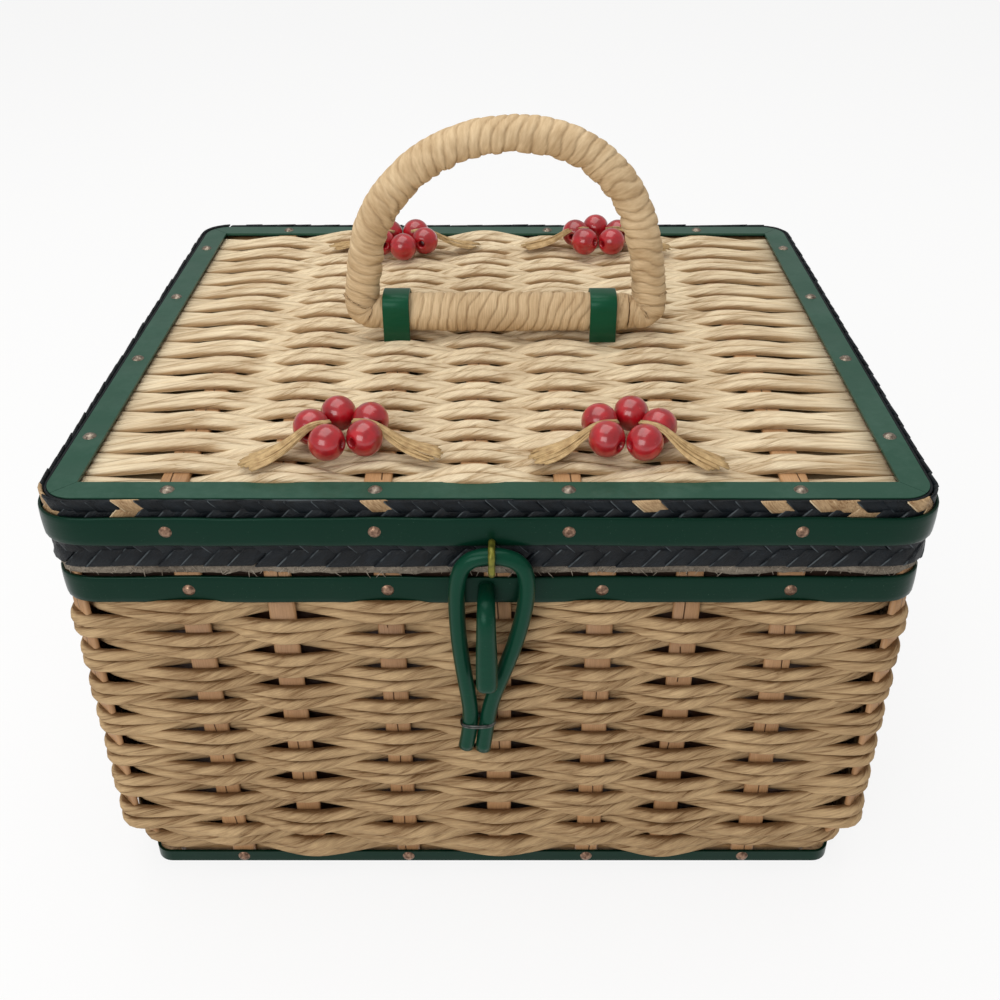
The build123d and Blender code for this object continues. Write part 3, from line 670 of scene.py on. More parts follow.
def lid_stakes():
    """The lid's stakes, bent down over its edges, and the two along its sides."""
    bend = LID_STAKE_BEND_R
    flat = EDGE_HALF_Y - 1.05 * MM - bend
    turn = bend * TURN / 4
    leg = LID_ROW_MID_Z - bend - LID_STAKE_END_Z
    bends = [flat + turn * i / 4 for i in range(5)]
    made = []
    for i, x in enumerate(LID_STAKE_X):

        def put(across, along, away):
            side = math.copysign(1, along)
            past = min(max(abs(along) - flat, 0.0), turn) / bend
            drop = max(abs(along) - flat - turn, 0.0)
            y = min(abs(along), flat) + (bend + away) * math.sin(past)
            z = LID_ROW_MID_Z - bend + (bend + away) * math.cos(past) - drop
            return Vector((x + across, side * y, z))

        cuts = [side * y for side in (-1, 1) for y in bends]
        made.append(bar(2 * (flat + turn + leg), STAKE_WIDTH, STAKE_THICK, cuts, put, i))
    for side in (-1, 1):

        def put_edge(across, along, away):
            return Vector((side * EDGE_STAKE_X + across, along, LID_ROW_MID_Z + away))

        long = 2 * (EDGE_HALF_Y - EDGE_CORNER_R)
        made.append(bar(long, EDGE_STAKE_WIDTH, STAKE_THICK, [], put_edge, side))
    mesh = gather("lid_stakes", made)
    solid("lid_stakes_split", mesh, "willow", "lid", "stake_wood", "lid_stakes")


BACK_JOIN = 32  # the point of a body cord, on the back wall, where its ends meet


def body_strand(row, side, dice):
    """The points of one of the two cords of a row, and its thickness there."""
    middle = (ROW_Z[row] + ROW_Z[row + 1]) / 2
    high = ROW_Z[row + 1] - ROW_Z[row]
    sag = (0.35 if (ROW_COUNT - 1 - row) % 2 else -0.35) * MM
    run = []
    for i, (_, spot, out, foot) in enumerate(SITES):
        over = (i + row) % 2 == 0
        spread = (0.355 if over else 0.2) * high + dice.off(0.15) * MM
        scale = (1.0 if over else 0.8) * (high / ROW_USUAL_HIGH) ** 0.8 + dice.off(0.06)
        z = middle + side * spread - sag + dice.off(0.2) * MM
        z = max(z, CORD_LOWEST_Z)
        level = (ROW_LEVEL if over else -ROW_LEVEL) + dice.off(0.15) * MM
        along = UP.cross(out)
        centre = spot + out * (level - inset_at(z, foot)) + UP * z
        for end in (-1, 1):
            run.append((centre + along * end * ROW_BOW * dice.uniform(0.42, 0.58), scale))
    return run[BACK_JOIN:] + run[:BACK_JOIN]


def lid_strand(row, side, dice):
    """The points of one of the two cords of a lid row, from left to right."""
    pitch = LID_ROW_SPAN / LID_ROW_COUNT
    y = -LID_ROW_SPAN / 2 + (row + 0.5) * pitch
    end_y = y + side * LID_CORD_APART
    end_z = LID_ROW_MID_Z - LID_END_DROP
    run = [(Vector((-LID_ROW_HALF_X, end_y, end_z)), 0.8)]
    for i, x in enumerate(LID_STAKE_X):
        over = (i + row) % 2 == 1
        spread = (2.4 if over else 1.4) * MM + dice.off(0.2) * MM
        scale = (1.0 if over else 0.8) + dice.off(0.07)
        level = (LID_ROW_LEVEL if over else -LID_ROW_LEVEL) + dice.off(0.1) * MM
        centre = Vector((x, y + side * spread + dice.off(0.2) * MM, LID_ROW_MID_Z + level))
        for end in (-1, 1):
            run.append((centre + Vector((end * ROW_BOW * dice.uniform(0.42, 0.58), 0, 0)), scale))
    run.append((Vector((LID_ROW_HALF_X, end_y, end_z)), 0.8))
    return run


def weave(name, strand, rows, seed, section, closed, finish, body):
    """Rows of doubled cord, the odd ones and the even ones as a piece each."""
    for half, first in (("odd", 0), ("even", 1)):
        dice = Dice(seed + first)
        runs = [strand(row, side, dice) for row in range(first, rows, 2) for side in (-1, 1)]
        piece = f"{name}_{half}"
        mesh = sweep(piece, runs, oval(*section, 10), closed=closed, steps=5)
        solid(piece, mesh, finish, body, "paper_cord", piece + "_rows")


# ---- edges, bands and braids ----
BAND_STEP = 7 * MM  # from one point of a strip to the next
TACK_REACH = 13 * MM  # a tack holds the strip in about this far


def band(name, edge, low, high, tacks, bulge, body, seed):
    """A plastic strip round an edge: pulled in at its tacks and bulging between them."""
    dice = Dice(seed)
    run = []
    for place, out in edge.around(round(edge.length / BAND_STEP)):
        near = min((place - Vector((x, y, 0))).length for x, y in tacks)
        free = 1 - math.exp(-((near / TACK_REACH) ** 2))
        place += out * (bulge * free * dice.uniform(0.7, 1.0))
        place.z = (low + high) / 2 + dice.off(0.12) * MM
        run.append((place, 1.0 - 0.03 * free + dice.off(0.01), dice.off(0.035)))
    section = strip(BAND_THICK / 2, (high - low) / 2, 0.18 * MM)
    mesh = sweep(name, [run], section, closed=True, steps=3)
    # the darker copy of the plastic: its extra darkness is painted shade on these upright strips
    solid(name + "_strip", mesh, "green_plastic_shaded_sides", body, "green_plastic", name)


def stitch(wide, high, thick, lean, cuts):
    """One flat stitch of a plait, slanted and with folded edges."""
    bm = block((wide, thick, high), False, 0.38 * thick, 1)
    lay_map(bm, lambda co: (co.x / wide + 0.5, co.z / high + 0.5))
    shear = Matrix(((1, 0, lean, 0), (0, 1, 0, 0), (0, 0, 1, 0), (0, 0, 0, 1)))
    bmesh.ops.transform(bm, matrix=shear, verts=bm.verts)
    slice_across(bm, cuts, Vector((1, 0, 0)))
    return finished("stitch", bm)


STRAW_STANDS = 1.6 * MM  # the stitches' middle, out of the lid's core
STITCH_PITCH = 6.9 * MM
STITCH_LONG = 8.0 * MM
STITCH_THICK = 1.05 * MM
STITCH_LAP = 0.8 * MM  # how far each half passes the split
STITCH_STAND = 0.85 * MM  # at most this far out of their middle; the core lies as far behind it
CORE_STEP = 5 * MM
PALE_REACH = 4.6 * MM  # stitches this near a bare site are pale


def braid(node, low, high, split, bare, seed):
    """A plait of straw round the lid: stitches that meet in a chevron at the split, over a dark core.
    At the corners a stitch has more cuts, so that it bends round them."""
    dice = Dice(seed)
    edge = Edge(*(size + STRAW_STANDS for size in (EDGE_HALF_X, EDGE_HALF_Y, EDGE_CORNER_R)))
    count = round(edge.length / STITCH_PITCH)
    bm = bmesh.new()
    for bottom, top, lean in ((low, split + STITCH_LAP, 0.95), (split - STITCH_LAP, high, -0.95)):
        size = (STITCH_LONG, top - bottom, STITCH_THICK)
        straight = stitch(*size, lean, [])
        bent = stitch(*size, lean, [x * MM for x in (-6, -3, 0, 3, 6)])
        for i in range(count):
            start = edge.length * (i + dice.off(0.09) + (0.5 if lean < 0 else 0.0)) / count
            here = edge.at(start)[0]
            ends = [edge.at(start + far * MM)[1] for far in (-9, 9)]
            one = (bent if ends[0].dot(ends[1]) < 0.999 else straight).copy()
            rise = (bottom + top) / 2 + dice.off(0.25) * MM
            proud = dice.off(0.1) * MM
            tuck = 0.045 + dice.off(0.02)
            lean_out = (-0.05 if lean > 0 else 0.05) + dice.off(0.02)
            grow = dice.uniform(0.92, 1.04)
            for vert in one.vertices:
                x, y, z = vert.co.x * grow, vert.co.y, vert.co.z
                place, away = edge.at(start + x)
                stand = proud - y - tuck * x + lean_out * z
                vert.co = place + away * min(stand, STITCH_STAND) + UP * (rise + z)
            here += UP * rise
            pale = any((here - Vector(site)).length < PALE_REACH for site in bare)
            for face in one.polygons:
                face.material_index = int(pale)
            bm.from_mesh(one)
            bpy.data.meshes.remove(one)
        bpy.data.meshes.remove(straight)
        bpy.data.meshes.remove(bent)
    plait = meshed("stitches", bm)
    spots = edge.around(round(edge.length / CORE_STEP))
    run = [(place - out * STITCH_STAND + UP * (low + high) / 2, 1.0) for place, out in spots]
    core = sweep("core", [run], strip(0.5 * MM, (high - low) / 2 - 0.6 * MM, 0.0), closed=True)
    mesh = gather(node, [plait, core])
    solid(node + "_plait", mesh, "navy_straw bare_straw", "lid", "navy_straw", node)


# ---- felt ----
LID_EDGE = Edge(EDGE_HALF_X, EDGE_HALF_Y, EDGE_CORNER_R)
RIM_POINTS = 420
FRAY_COUNT = 900
FRAY_LOWEST_Z = 128.9 * MM


def felt_edge(run):
    """How far the felt's edge stands out at a run along it."""
    slow = noise.noise(Vector((run * 45, 0.0, 2.0)))
    quick = noise.noise(Vector((run * 260, 4.0, 2.0)))
    return max(0.15, 0.8 + 0.8 * slow + 0.6 * quick) * MM


def felt_sheet():
    """The thick felt under the lid, its edge wavy and frayed."""
    spots = [LID_EDGE.length * i / RIM_POINTS for i in range(RIM_POINTS)]
    bm = bmesh.new()
    rim = []
    for spot in spots:
        place, out = LID_EDGE.at(spot)
        rim.append(bm.verts.new(place + out * felt_edge(spot) + UP * FELT_Z[0]))
    sheet = bm.faces.new(rim)
    bmesh.ops.inset_region(bm, faces=[sheet], thickness=0.9 * MM)
    bmesh.ops.inset_region(bm, faces=[sheet], thickness=5 * MM)
    thicken(bm, FELT_Z[1] - FELT_Z[0])
    for i, (spot, vert) in enumerate(zip(spots, rim)):
        vert.co.z -= 0.5 * felt_edge(spot) * (1 + 1.6 * noise.noise(Vector((i * 0.13, 7.0, 1.0))))
    mesh = finished("felt", bm)
    piece = solid("felt_sheet", mesh, "grey_felt", "lid", "grey_felt", "lid_felt")
    dice = Dice(44)
    runs = []
    for i in range(FRAY_COUNT):
        run = LID_EDGE.length * (i + dice.random()) / FRAY_COUNT
        place, out = LID_EDGE.at(run)
        ahead = UP.cross(out)
        root = place + out * (felt_edge(run) - 0.5 * MM) + UP * dice.uniform(*FELT_Z)
        lean = dice.off(2.4) * MM
        reach = dice.uniform(0.3, 1.0) * MM
        drop = dice.uniform(-2.4, 0.3) * MM
        middle = root + out * reach + ahead * lean * 0.4 + UP * drop * 0.3
        tip = root + out * (reach + 0.1 * MM) + ahead * lean + UP * drop
        tip.z = max(tip.z, FRAY_LOWEST_Z + dice.uniform(0.0, 0.8) * MM)
        runs.append([(root, 1.0), (middle, 0.8), (tip, 0.35)])
    mesh = sweep("fray", runs, oval(0.2 * MM, 0.2 * MM, 3), steps=3)
    solid("felt_fray", mesh, "felt_fibre", "lid", "grey_felt")


# ---- quilted pads ----
QUILT_FACE = 5 * MM  # about two faces of a pad's mesh


def quilted(name, node, wide, high, step, put, rim, body):
    """A padded panel quilted in diamonds. put places a point from its place across, its height and
    its share from the pad's back, 0, to its face, 1."""
    across = 2 * round(wide / QUILT_FACE)
    along = 2 * round(high / QUILT_FACE)
    sides = []
    for face in (0, 1):
        bm = bmesh.new()
        bmesh.ops.create_grid(bm, x_segments=across, y_segments=along, size=0.5)
        seam = bm.verts.layers.float.new("seam")
        for vert in bm.verts:
            u, v = vert.co.x, vert.co.y
            x, y = u * wide, v * high
            edge = min(0.5 - abs(u), (0.5 - abs(v)) * high / wide) * wide
            pinch = 1 - max(0.0, 1 - edge / rim) ** 2.4
            if face:
                tuft = min(abs(math.sin(TURN / 2 * slant / step)) for slant in (x + y, x - y))
                vert[seam] = max(0.0, 1 - 7 * tuft)
                share = pinch * (0.5 + 0.5 * tuft ** 0.45) + 0.5 * (1 - pinch)
            else:
                share = 0.5 - 0.5 * min(1.0, 1.6 * pinch)
            vert.co = put(x, y, share)
        if face:
            bmesh.ops.reverse_faces(bm, faces=bm.faces)
        sides.append(meshed(name, bm))
    mesh = gather(name, sides)
    tidy(mesh)
    mesh.shade_smooth()
    piece = solid(name, mesh, "brown_satin", body, "lining_satin", node)


LINING_Z = (9.0 * MM, 128.0 * MM)
LINING_INSET = 9.2 * MM  # the wall pads' middle, from the stakes' middle
LINING_CORNER_R = 6.0 * MM
LINING_HALF_THICK = 4.3 * MM
LINING_LEAN_Z = (22.9 * MM, 31.6 * MM)  # the pads' backs lean in between these heights


def linings():
    """The quilted linings: one round each wall, the floor's pad and the lid's cushion."""
    bottom, top = LINING_Z
    edge = Edge(WALL_HALF_X - LINING_INSET, WALL_HALF_Y - LINING_INSET, LINING_CORNER_R)
    start = 0.0
    for side, straight in zip(("front", "right", "back", "left"), edge.straights * 2):
        middle = start + straight / 2
        start += straight + edge.bend

        def put(x, y, share):
            z = (bottom + top) / 2 + y
            place, out = edge.at(middle + x)
            lean = min(max((LINING_LEAN_Z[1] - z) / (LINING_LEAN_Z[1] - LINING_LEAN_Z[0]), 0.0), 1.0)
            back = LINING_HALF_THICK - 5.4 * MM * lean
            return place + out * (back + (-LINING_HALF_THICK - back) * share) + UP * z

        size = (straight + edge.bend, top - bottom, 27 * MM)
        quilted("pad_" + side, "lining_" + side, *size, put, 5 * MM, "basket")

    def flat_pad(name, node, half_x, half_y, rounding, low, thick, rim, body):
        """A pad that lies level; a negative thickness hangs its face down."""

        def put(x, y, share):
            ease = 1 - rounding * (x / half_x) ** 6 * (y / half_y) ** 6
            return Vector((x * ease, y * ease, low + thick * share))

        quilted(name, node, 2 * half_x, 2 * half_y, 30 * MM, put, rim, body)

    floor = (112.8 * MM, 98.4 * MM, 0.03, 4.8 * MM, 7.8 * MM, 5 * MM)
    cushion = (104 * MM, 89 * MM, 0.12, FELT_Z[0] - 0.05 * MM, -4.4 * MM, 6 * MM)
    flat_pad("pad_floor", "lining_floor", *floor, "basket")
    flat_pad("lid_pad", "lid_cushion", *cushion, "lid")


# ---- handle ----
HANDLE_Y = -3.0 * MM
BAR_Z = 164.6 * MM
WRAP_R = 5.9 * MM
BAR_WRAP_R = 7.1 * MM
BAR_ENDS = (-37.9 * MM, 47.4 * MM)
ARCH = (  # X and height over the bar's axis
    *((-37.9, 0.0), (-42.8, -0.3), (-45.8, 1.4), (-45.4, 6.5), (-44.3, 13.0), (-41.4, 34.0)),
    *((-24.5, 53.2), (-3.5, 61.8), (19.0, 62.3), (37.5, 53.8), (50.8, 35.0), (54.0, 13.0)),
    *((54.9, 6.5), (55.2, 1.4), (52.2, -0.3), (47.4, 0.0)),
)


def wind(mesh, pitch, starts, depth, seed, hollow):
    """Turns a smooth bar into one wound with paper strip, and marks the creases between its turns for
    painted shade.
    The strip bunches on the side towards the hollow."""
    spots = {loop.vertex_index: spot.uv[:] for loop, spot in zip(mesh.loops, mesh.uv_layers[0].data)}
    rings = {}
    for vertex in mesh.vertices:
        rings.setdefault(round(spots[vertex.index][0], 5), []).append(vertex.co.copy())
    lengths = {}
    run = 0.0
    last = None
    for key in sorted(rings):
        middle = sum(rings[key], Vector()) / len(rings[key])
        run += (middle - last).length if last else 0.0
        lengths[key] = run
        last = middle
    marks = mesh.attributes.new("painted_crease_shade", "FLOAT", "POINT")
    for vertex in mesh.vertices:
        along, around = spots[vertex.index]
        far = lengths[round(along, 5)]
        circle = Vector((math.cos(TURN * around), math.sin(TURN * around), 0)) * 0.7
        wander = noise.noise(circle + UP * (far * 70 + seed))
        turn = far / pitch + starts * around + 0.8 * wander
        share = turn % 1.0
        rise = 1 - (1 - 2 * min(share, 1 - share)) ** 5
        lump = noise.noise(circle + UP * (turn * 0.8 + seed))
        inner = max(0.0, vertex.normal.dot((hollow - vertex.co).normalized())) if hollow else 0.5
        bunch = noise.noise(Vector((seed, 3.1, turn * 0.42)))
        if hollow:
            bunch += 1.5 * abs(math.sin(TURN / 4 * turn + 2 * wander)) - 0.9
        bunch *= 1.4 * inner
        vertex.co += vertex.normal * depth * (rise - 0.9 + 0.5 * (share - 0.5) + 0.6 * lump + bunch)
        # the crease mark is painted shade, stronger on the side that faces the hollow under the arch
        marks.data[vertex.index].value = max(0.0, 1 - 9 * min(share, 1 - share)) * (0.55 + 0.45 * inner)


def wound_handle():
    """The arch and the bar, wound with flat paper strip."""
    run = [(Vector((x * MM, HANDLE_Y, BAR_Z + z * MM)), 1.0) for x, z in ARCH]
    mesh = sweep("arch_wrap", [run], oval(WRAP_R, WRAP_R, 40), steps=42, twist="MINIMUM")
    wind(mesh, 4.1 * MM, 2, 0.5 * MM, 3.0, Vector((4.0 * MM, HANDLE_Y, BAR_Z + 12 * MM)))
    solid("arch_wrap", mesh, "wrap_paper", "handle", "paper_cord", "handle_wrap")
    left, right = BAR_ENDS
    run = [
        (Vector((left + (right - left) * i / 5, HANDLE_Y, BAR_Z)), 1.0 - 0.06 * (i in (0, 5)))
        for i in range(6)
    ]
    mesh = sweep("bar_wound", [run], oval(BAR_WRAP_R - 0.3 * MM, BAR_WRAP_R - 0.3 * MM, 48), steps=50)
    wind(mesh, 3.7 * MM, 3, 0.5 * MM, 8.0, None)
    solid("bar_wound", mesh, "wrap_paper", "handle", "paper_cord", "bar_wrap")


STRAP_WIDE = 9.2 * MM
STRAP_FOOT_Z = 156.4 * MM
STRAP_X = {"left": -33.2 * MM, "right": 38.5 * MM}


def straps():
    """The two plastic straps that hold the bar down."""
    radius = BAR_WRAP_R + 0.1 * MM + BAND_THICK / 2
    arch = radius * TURN / 2
    leg = BAR_Z - STRAP_FOOT_Z
    cuts = [arch * (i / 24 - 0.5) for i in range(25)]
    for side, x in STRAP_X.items():

        def put(across, along, away):
            angle = min(max(along / radius, -TURN / 4), TURN / 4)
            drop = max(abs(along) - arch / 2, 0.0)
            reach = radius + away
            fold = 0.5 if angle < 0 else 1.0
            y = reach * math.copysign(abs(math.sin(angle)) ** fold, angle)
            return Vector((x + across, HANDLE_Y + y, BAR_Z + reach * math.cos(angle) ** fold - drop))

        mesh = bar(arch + 2 * leg, STRAP_WIDE, BAND_THICK, cuts, put, x)
        node = "handle_strap_" + side
        solid("strap_" + side, mesh, "green_plastic_lit_straps", "lid", "green_plastic", node)


# ---- beads and leaves ----
BEAD_R = 5.4 * MM
BEAD_HOLE_R = 1.2 * MM
BEAD_COUNT = 5
BEAD_RING_R = 9.27 * MM
CLUSTERS = {  # centre, turn of the ring and the two leaf directions, in degrees
    "front_left": (-43.0, -84.0, 104.0, (206.0, 344.0)),
    "front_right": (40.8, -84.2, 80.0, (199.0, 332.0)),
    "back_left": (-37.5, 75.0, -85.0, (171.0, 11.0)),
    "back_right": (42.2, 79.5, -54.0, (180.0, -4.0)),
}


def bead():
    """A round bead with a bore along Z, its rims eased."""
    bm = bmesh.new()
    start = math.asin(1.35 * BEAD_HOLE_R / BEAD_R)
    angles = [start + (TURN / 2 - 2 * start) * i / 16 for i in range(17)]
    ball = [Vector((BEAD_R * math.sin(a), 0, BEAD_R * math.cos(a))) for a in angles]
    top = ball[0].z
    bore = [Vector((BEAD_HOLE_R, 0, z)) for z in (-0.93 * top, 0.0, 0.93 * top)]
    verts = [bm.verts.new(place) for place in ball + bore]
    edges = [bm.edges.new((a, b)) for a, b in zip(verts, verts[1:] + verts[:1])]
    bmesh.ops.spin(
        bm, geom=verts + edges, axis=UP, cent=(0, 0, 0), angle=TURN, steps=28, use_merge=True
    )
    bmesh.ops.remove_doubles(bm, verts=bm.verts, dist=0.01 * MM)
    return finished("bead", bm)


def bead_clusters():
    """Four rings of beads on a thread, each with two bundles of raffia."""
    one = bead()
    for place, (x, y, turn, leaf_turns) in CLUSTERS.items():
        dice = Dice(place)
        centre = Vector((x * MM, y * MM, LID_WEAVE_TOP_Z + 0.2 * MM))
        made = []
        knots = []
        for i in range(BEAD_COUNT):
            ring = Matrix.Rotation(math.radians(turn) + TURN * i / BEAD_COUNT, 4, "Z")
            bore = Matrix.Rotation(TURN / 4 + math.radians(dice.off(8)), 4, "X")
            out = Matrix.Translation((BEAD_RING_R, 0, 0))
            spot = Matrix.Translation(centre + UP * BEAD_R) @ ring @ out @ bore
            ball = one.copy()
            ball.transform(spot)
            made.append(ball)
            knots.append((spot.translation.copy(), 1.0))
        mesh = gather("beads", made)
        solid("bead_ring_" + place, mesh, "red_bead", "lid", "red_bead", "beads_" + place)
        mesh = sweep("thread", [knots], oval(0.45 * MM, 0.45 * MM, 8), closed=True, steps=8)
        solid("thread_" + place, mesh, "pale_thread", "lid", "raffia")
        runs = []
        for leaf_turn in leaf_turns:
            runs += leaf_ribbons(centre, math.radians(leaf_turn), dice)
        mesh = sweep("leaf", runs, oval(0.68 * MM, 0.2 * MM, 6), steps=4)
        solid("raffia_" + place, mesh, "raffia", "lid", "raffia", "leaves_" + place)
    bpy.data.meshes.remove(one)


def leaf_ribbons(centre, turn, dice):
    """Ribbons of one leaf: bunched over the beads and fanned out at the tip."""
    out = Vector((math.cos(turn), math.sin(turn), 0))
    across = UP.cross(out)
    runs = []
    count = 13
    for i in range(count):
        share = 2 * i / (count - 1) - 1
        tip = 31.0 - 3.0 * abs(share) + dice.off(1.2)
        layers = (
            (3.5, 0.4, 8.2),
            (8.5, 0.9, 9.9 - 0.8 * abs(share)),
            (13.5, 1.5, 7.4 - 1.2 * abs(share)),
            (19.0, 3.0, 3.9 - 1.4 * abs(share)),
            (25.0, 4.2, 2.2 - 1.0 * abs(share)),
            (tip, 4.2, 0.9),
        )
        run = []
        for far, wide, high in layers:
            place = centre + out * far * MM + across * wide * (share + dice.off(0.07)) * MM
            place += UP * (high + dice.uniform(-0.15, 0.25)) * MM
            run.append((place, 1.0, dice.off(0.5)))
        runs.append(run)
    return runs


# ---- latch ----
LATCH_X = 1.0 * MM
LOOP_Y = -116.85 * MM
LOOP_WIRE_R = 2.45 * MM
LOOP_PATH = (  # X from the staple and height, from the left foot round to the right one
    *((-8.6, 67.2), (-7.6, 72.0), (-6.7, 80.0), (-7.4, 88.0), (-9.8, 106.0), (-10.5, 124.0)),
    *((-9.6, 136.0), (-4.6, 140.2), (4.6, 140.2), (10.2, 136.0), (10.2, 124.0), (6.3, 106.0)),
    *((-0.2, 88.0), (-1.6, 80.0), (-2.6, 72.0), (-3.3, 66.4)),
)
TIE_Z = 77.6 * MM
TIE_WIRE_R = 0.3 * MM

PEG_X = -0.7 * MM
PEG_ROOT = (-110.6 * MM, 124.6 * MM)  # Y and height
PEG_Y = -122.2 * MM
PEG_TIP_Z = 95.4 * MM
PEG_BEND_R = 7.0 * MM
PEG_WIDE = 6.4 * MM
PEG_THICK = 4.8 * MM


def peg():
    """The tongue that the loop drops over: out of the rim, bent down and wider at its tip."""
    out = PEG_ROOT[0] - PEG_Y - PEG_BEND_R
    bend = TURN / 4 * PEG_BEND_R
    down = PEG_ROOT[1] - PEG_BEND_R - PEG_TIP_Z
    long = out + bend + down

    def put(across, along, away):
        run = along + long / 2
        angle = min(max((run - out) / PEG_BEND_R, 0.0), TURN / 4)
        before = min(run, out)
        after = max(run - out - bend, 0.0)
        tip = max(0.0, 1 - (long - run) / (1.6 * MM))
        wide = (0.76 + 0.24 * min(1.0, run / (0.75 * long))) * (1 - 0.12 * tip ** 2)
        dome = 1 - 0.22 * (2 * across / PEG_WIDE) ** 2
        reach = PEG_BEND_R + away * (dome if away > 0 else 1.0) * (1 - 0.2 * tip ** 2)
        y = PEG_ROOT[0] - before - reach * math.sin(angle)
        z = PEG_ROOT[1] - PEG_BEND_R + reach * math.cos(angle) - after
        return Vector((PEG_X + across * wide, y, z))

    cuts = [long * (share - 0.5) for share in (0.04, 0.3, 0.45, 0.6, 0.75, 0.9, 0.96, 0.985)]
    cuts += [out - long / 2 + bend * i / 8 for i in range(9)]
    mesh = bar(long, PEG_WIDE, PEG_THICK, cuts, put, 1)
    solid("peg_tongue", mesh, "green_plastic", "basket", "green_plastic", "latch_peg")


def latch():
    """The loop of round plastic cord and the wire that ties its feet."""
    run = [(Vector((LATCH_X + x * MM, LOOP_Y, z * MM)), 1.0) for x, z in LOOP_PATH]
    mesh = sweep("loop", [run], oval(LOOP_WIRE_R, LOOP_WIRE_R, 24), steps=8, twist="MINIMUM")
    solid("latch_cord", mesh, "green_plastic", "latch", "green_plastic", "latch_loop")

    def bent(value, power):
        return math.copysign(abs(value) ** power, value)

    run = []
    centre = Vector((LATCH_X - 4.7 * MM, LOOP_Y, TIE_Z))
    for i in range(37):
        angle = TURN * (i / 16)
        wide = 5.35 * bent(math.cos(angle), 0.7)
        deep = 2.85 * bent(math.sin(angle), 0.8)
        run.append((centre + Vector((wide * MM, deep * MM, (i - 18) * 0.045 * MM)), 1.0))
    mesh = sweep("tie", [run], oval(TIE_WIRE_R, TIE_WIRE_R, 8), steps=4)
    solid("wire_tie", mesh, "tie_wire", "latch", "tie_wire", "latch_tie")


# ---- studio ----
PALE = (0.9, 0.9, 0.9, 1.0)
AIM = Vector((0, 0, 0.08))  # what the lamps point at
EYE = (0.0057, -0.3793, 0.3269)
EYE_TILT = 57.35  # degrees, from straight down
EYE_LENS = 41.4
EYE_SHIFT = -0.0085


def studio():
    """A pale floor, soft lamps and the camera."""
    bm = bmesh.new()
    bmesh.ops.create_grid(bm, x_segments=1, y_segments=1, size=6.0)
    mesh = meshed("floor", bm)
    floor = linked("floor", mesh)
    f = Finish("pale_floor", Base_Color=PALE, Roughness=0.9)
    glow = f.node("Emission", {"Color": (1.0, 1.0, 1.0, 1.0), "Strength": 1.0})
    share = f.seen_by("Is Camera Ray", "Is Glossy Ray") * 0.85
    shown = f.node("MixShader", {0: share, 1: Socket(f, f.shader.outputs[0]), 2: glow})
    f.tree.links.new(shown.socket, f.output.inputs["Surface"])
    mesh.materials.append(FINISHES["pale_floor"])

    world = bpy.data.worlds.new("studio")
    scene.world = world
    sky = Graph(world)
    seen = sky.seen_by("Is Camera Ray", "Is Transmission Ray")
    strength = sky.node("MapRange", {0: seen, "To Min": 0.45, "To Max": 1.0})
    values = {"Color": (1.0, 0.99, 0.97, 1.0), "Strength": strength}
    light = sky.node("Background", values)
    sky.node("OutputWorld", {"Surface": light})

    def lamp(name, place, size, power, colour):
        light = bpy.data.lights.new(name, "AREA")
        light.shape = "RECTANGLE"
        light.size, light.size_y = size
        light.energy = power
        light.color = colour
        made = linked(name, light)
        made.location = place
        made.rotation_euler = (AIM - Vector(place)).to_track_quat("-Z", "Y").to_euler()

    lamp("overhead", (-0.15, 0.10, 1.25), (1.3, 1.1), 9.0, (1.0, 0.98, 0.95))
    lamp("front", (-0.55, -1.15, 0.75), (0.9, 0.7), 7.0, (1.0, 0.98, 0.96))

    camera = bpy.data.cameras.new("camera")
    camera.sensor_width = 36.0
    camera.lens = EYE_LENS
    camera.shift_x = EYE_SHIFT
    camera.clip_start = 0.01
    eye = linked("camera", camera)
    eye.location = EYE
    eye.rotation_euler = (math.radians(EYE_TILT), 0.0, 0.0)
    scene.camera = eye
    scene.view_settings.view_transform = "Standard"


studio()

# ---- finishes in use ----
twisted_paper("body_paper_cord", 0xCEB086, 0x765636, 0.94, 25 / 0.94, 0.0)
# paler copy of the body's cord for the lid top: its extra brightness is painted light from above
twisted_paper("lid_paper_cord_painted_light", 0xF5E4C3, 0xB0926C, 0.235, 25.0, 0.25)
glossy_plastic("green_plastic", 0x124432, 0x083626)
# darker copy for the upright bands: painted shade
glossy_plastic("green_plastic_shaded_sides", 0x082B1F, 0x022115)
# paler copy for the straps on top: painted light from above
glossy_plastic("green_plastic_lit_straps", 0x2A5A44, 0x144A32)
# paler copy for the top bands: partly dust, partly a painted sheen of the light from above
glossy_plastic("green_plastic_dust_and_sheen", 0x4C685C, 0x2A4C3E)
plaited_straw("navy_straw", 0x141C23, 0x040609, 0x50585C, 0.45)
plaited_straw("bare_straw", 0xCEB088, 0x806242, 0xDECCAA, 0.5)
tarnished("bronze", "bronze", 0xA88872, 0x5C4438, 0.85)
tarnished("bronze", "worn_bronze", 0xA4988A, 0x60544A, 0.85)
painted_bead("red_bead", 0xBA1422, 0x8C0814)
dry_raffia("raffia", 0xDCBE8A, 0x967446)
dry_raffia("pale_thread", 0xD6CCBC, 0xA0927E)
felted("grey_felt", 0xA2988A, 0x362E26)
felted("felt_fibre", 0xCEC4B4, 0x685A4C)
quilted_satin("brown_satin", 0x623E28, 0x382216, 0x1E120C)
split_willow("willow", 0xC69A6E, 0x926A46, 0.03)
plain_wood("board", 0xC49C6C, 0x967046, (260.0, 12.0, 260.0))
plain_wood("cord_ends", 0xB09068, 0x60462C, (700.0, 700.0, 160.0))
plain_wood("hoop", 0x463022, 0x221610, (30.0, 30.0, 700.0))
plain_wood("card", 0xB09670, 0x967C58, (120.0, 120.0, 120.0))
tarnished("wire", "brass_wire", 0x84822E, 0x4A4A1A, 0.5)
tarnished("wire", "hinge_brass", 0xB09A60, 0x6C5A32, 0.8)
tarnished("wire", "tie_wire", 0x787A76, 0x343634, 0.8)
wrapping_paper("wrap_paper", 0xE6CDA6, 0xAC8C64, 0.2, 900.0)

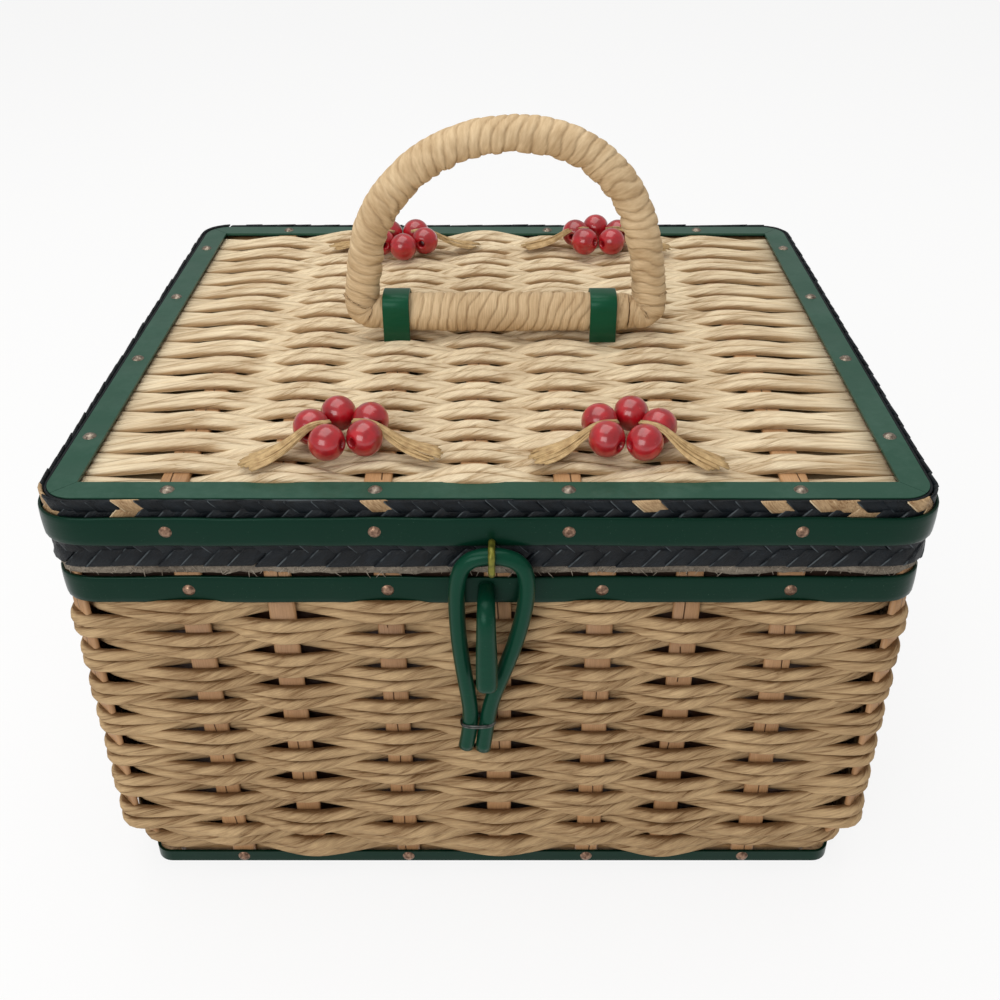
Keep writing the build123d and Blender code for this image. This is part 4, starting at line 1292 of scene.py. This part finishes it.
for finish, names in (
    ("board", "base_board lid_frame handle_core"),
    ("hoop", "rim_hoop"),
    ("green_plastic_shaded_sides", "base_band"),
    ("green_plastic_dust_and_sheen", "top_band_front top_band_back top_band_left top_band_right"),
    ("bronze", "base_tacks rim_tacks side_tacks"),
    ("worn_bronze", "top_tacks"),
    ("card", "lid_board"),
    ("brass_wire", "latch_staple"),
    ("hinge_brass", "hinge_bracket_left hinge_bracket_right hinge_eye_left hinge_eye_right"),
):
    for name in names.split():
        nodes[name].data.materials.clear()
        nodes[name].data.materials.append(FINISHES[finish])

body_stakes()
corner_fills()
lid_stakes()
weave("weave", body_strand, ROW_COUNT, 11, (1.8 * MM, 2.4 * MM), True, "body_paper_cord", "basket")
weave("lid", lid_strand, LID_ROW_COUNT, 31, (2.5 * MM, 1.6 * MM), False, "lid_paper_cord_painted_light", "lid")

SIDE_TACKS = [(x, y) for x in LID_STAKE_X[::2] for y in (-EDGE_HALF_Y, EDGE_HALF_Y)]
SIDE_TACKS += [(x, y * MM) for y in (-80, -27, 27, 80) for x in (-EDGE_HALF_X, EDGE_HALF_X)]
RIM_TACKS = [tuple(spot[:2]) for i, (side, spot, _, _) in enumerate(SITES) if i % 2 and side != "corner"]
side_edge = Edge(EDGE_HALF_X + 3.0 * MM, EDGE_HALF_Y + 3.0 * MM, EDGE_CORNER_R + 2.85 * MM)
rim_edge = Edge(WALL_HALF_X + 1.5 * MM, WALL_HALF_Y + 1.5 * MM, 8.5 * MM)
band("side_band", side_edge, 141.6 * MM, 151.0 * MM, SIDE_TACKS, 0.6 * MM, "lid", 5)
band("rim_band", rim_edge, 119.2 * MM, 128.5 * MM, RIM_TACKS, 0.45 * MM, "basket", 6)

straw_sites = [(x * MM, -EDGE_HALF_Y - 1.5 * MM, 154.4 * MM) for x in (-101, -31, 47, 79.5, 94, 102)]
straw_sites += [(-EDGE_HALF_X + 2 * MM, -EDGE_HALF_Y + 2 * MM, 153.5 * MM)]
straw_sites += [(EDGE_HALF_X - 2 * MM, -EDGE_HALF_Y + 1 * MM, 153.5 * MM)]
braid("upper_braid", 147.2 * MM, 155.7 * MM, 152.4 * MM, straw_sites, 21)
braid("lower_braid", 133.4 * MM, 145.7 * MM, 138.6 * MM, [], 22)
felt_sheet()
linings()
wound_handle()
straps()
bead_clusters()
peg()
latch()
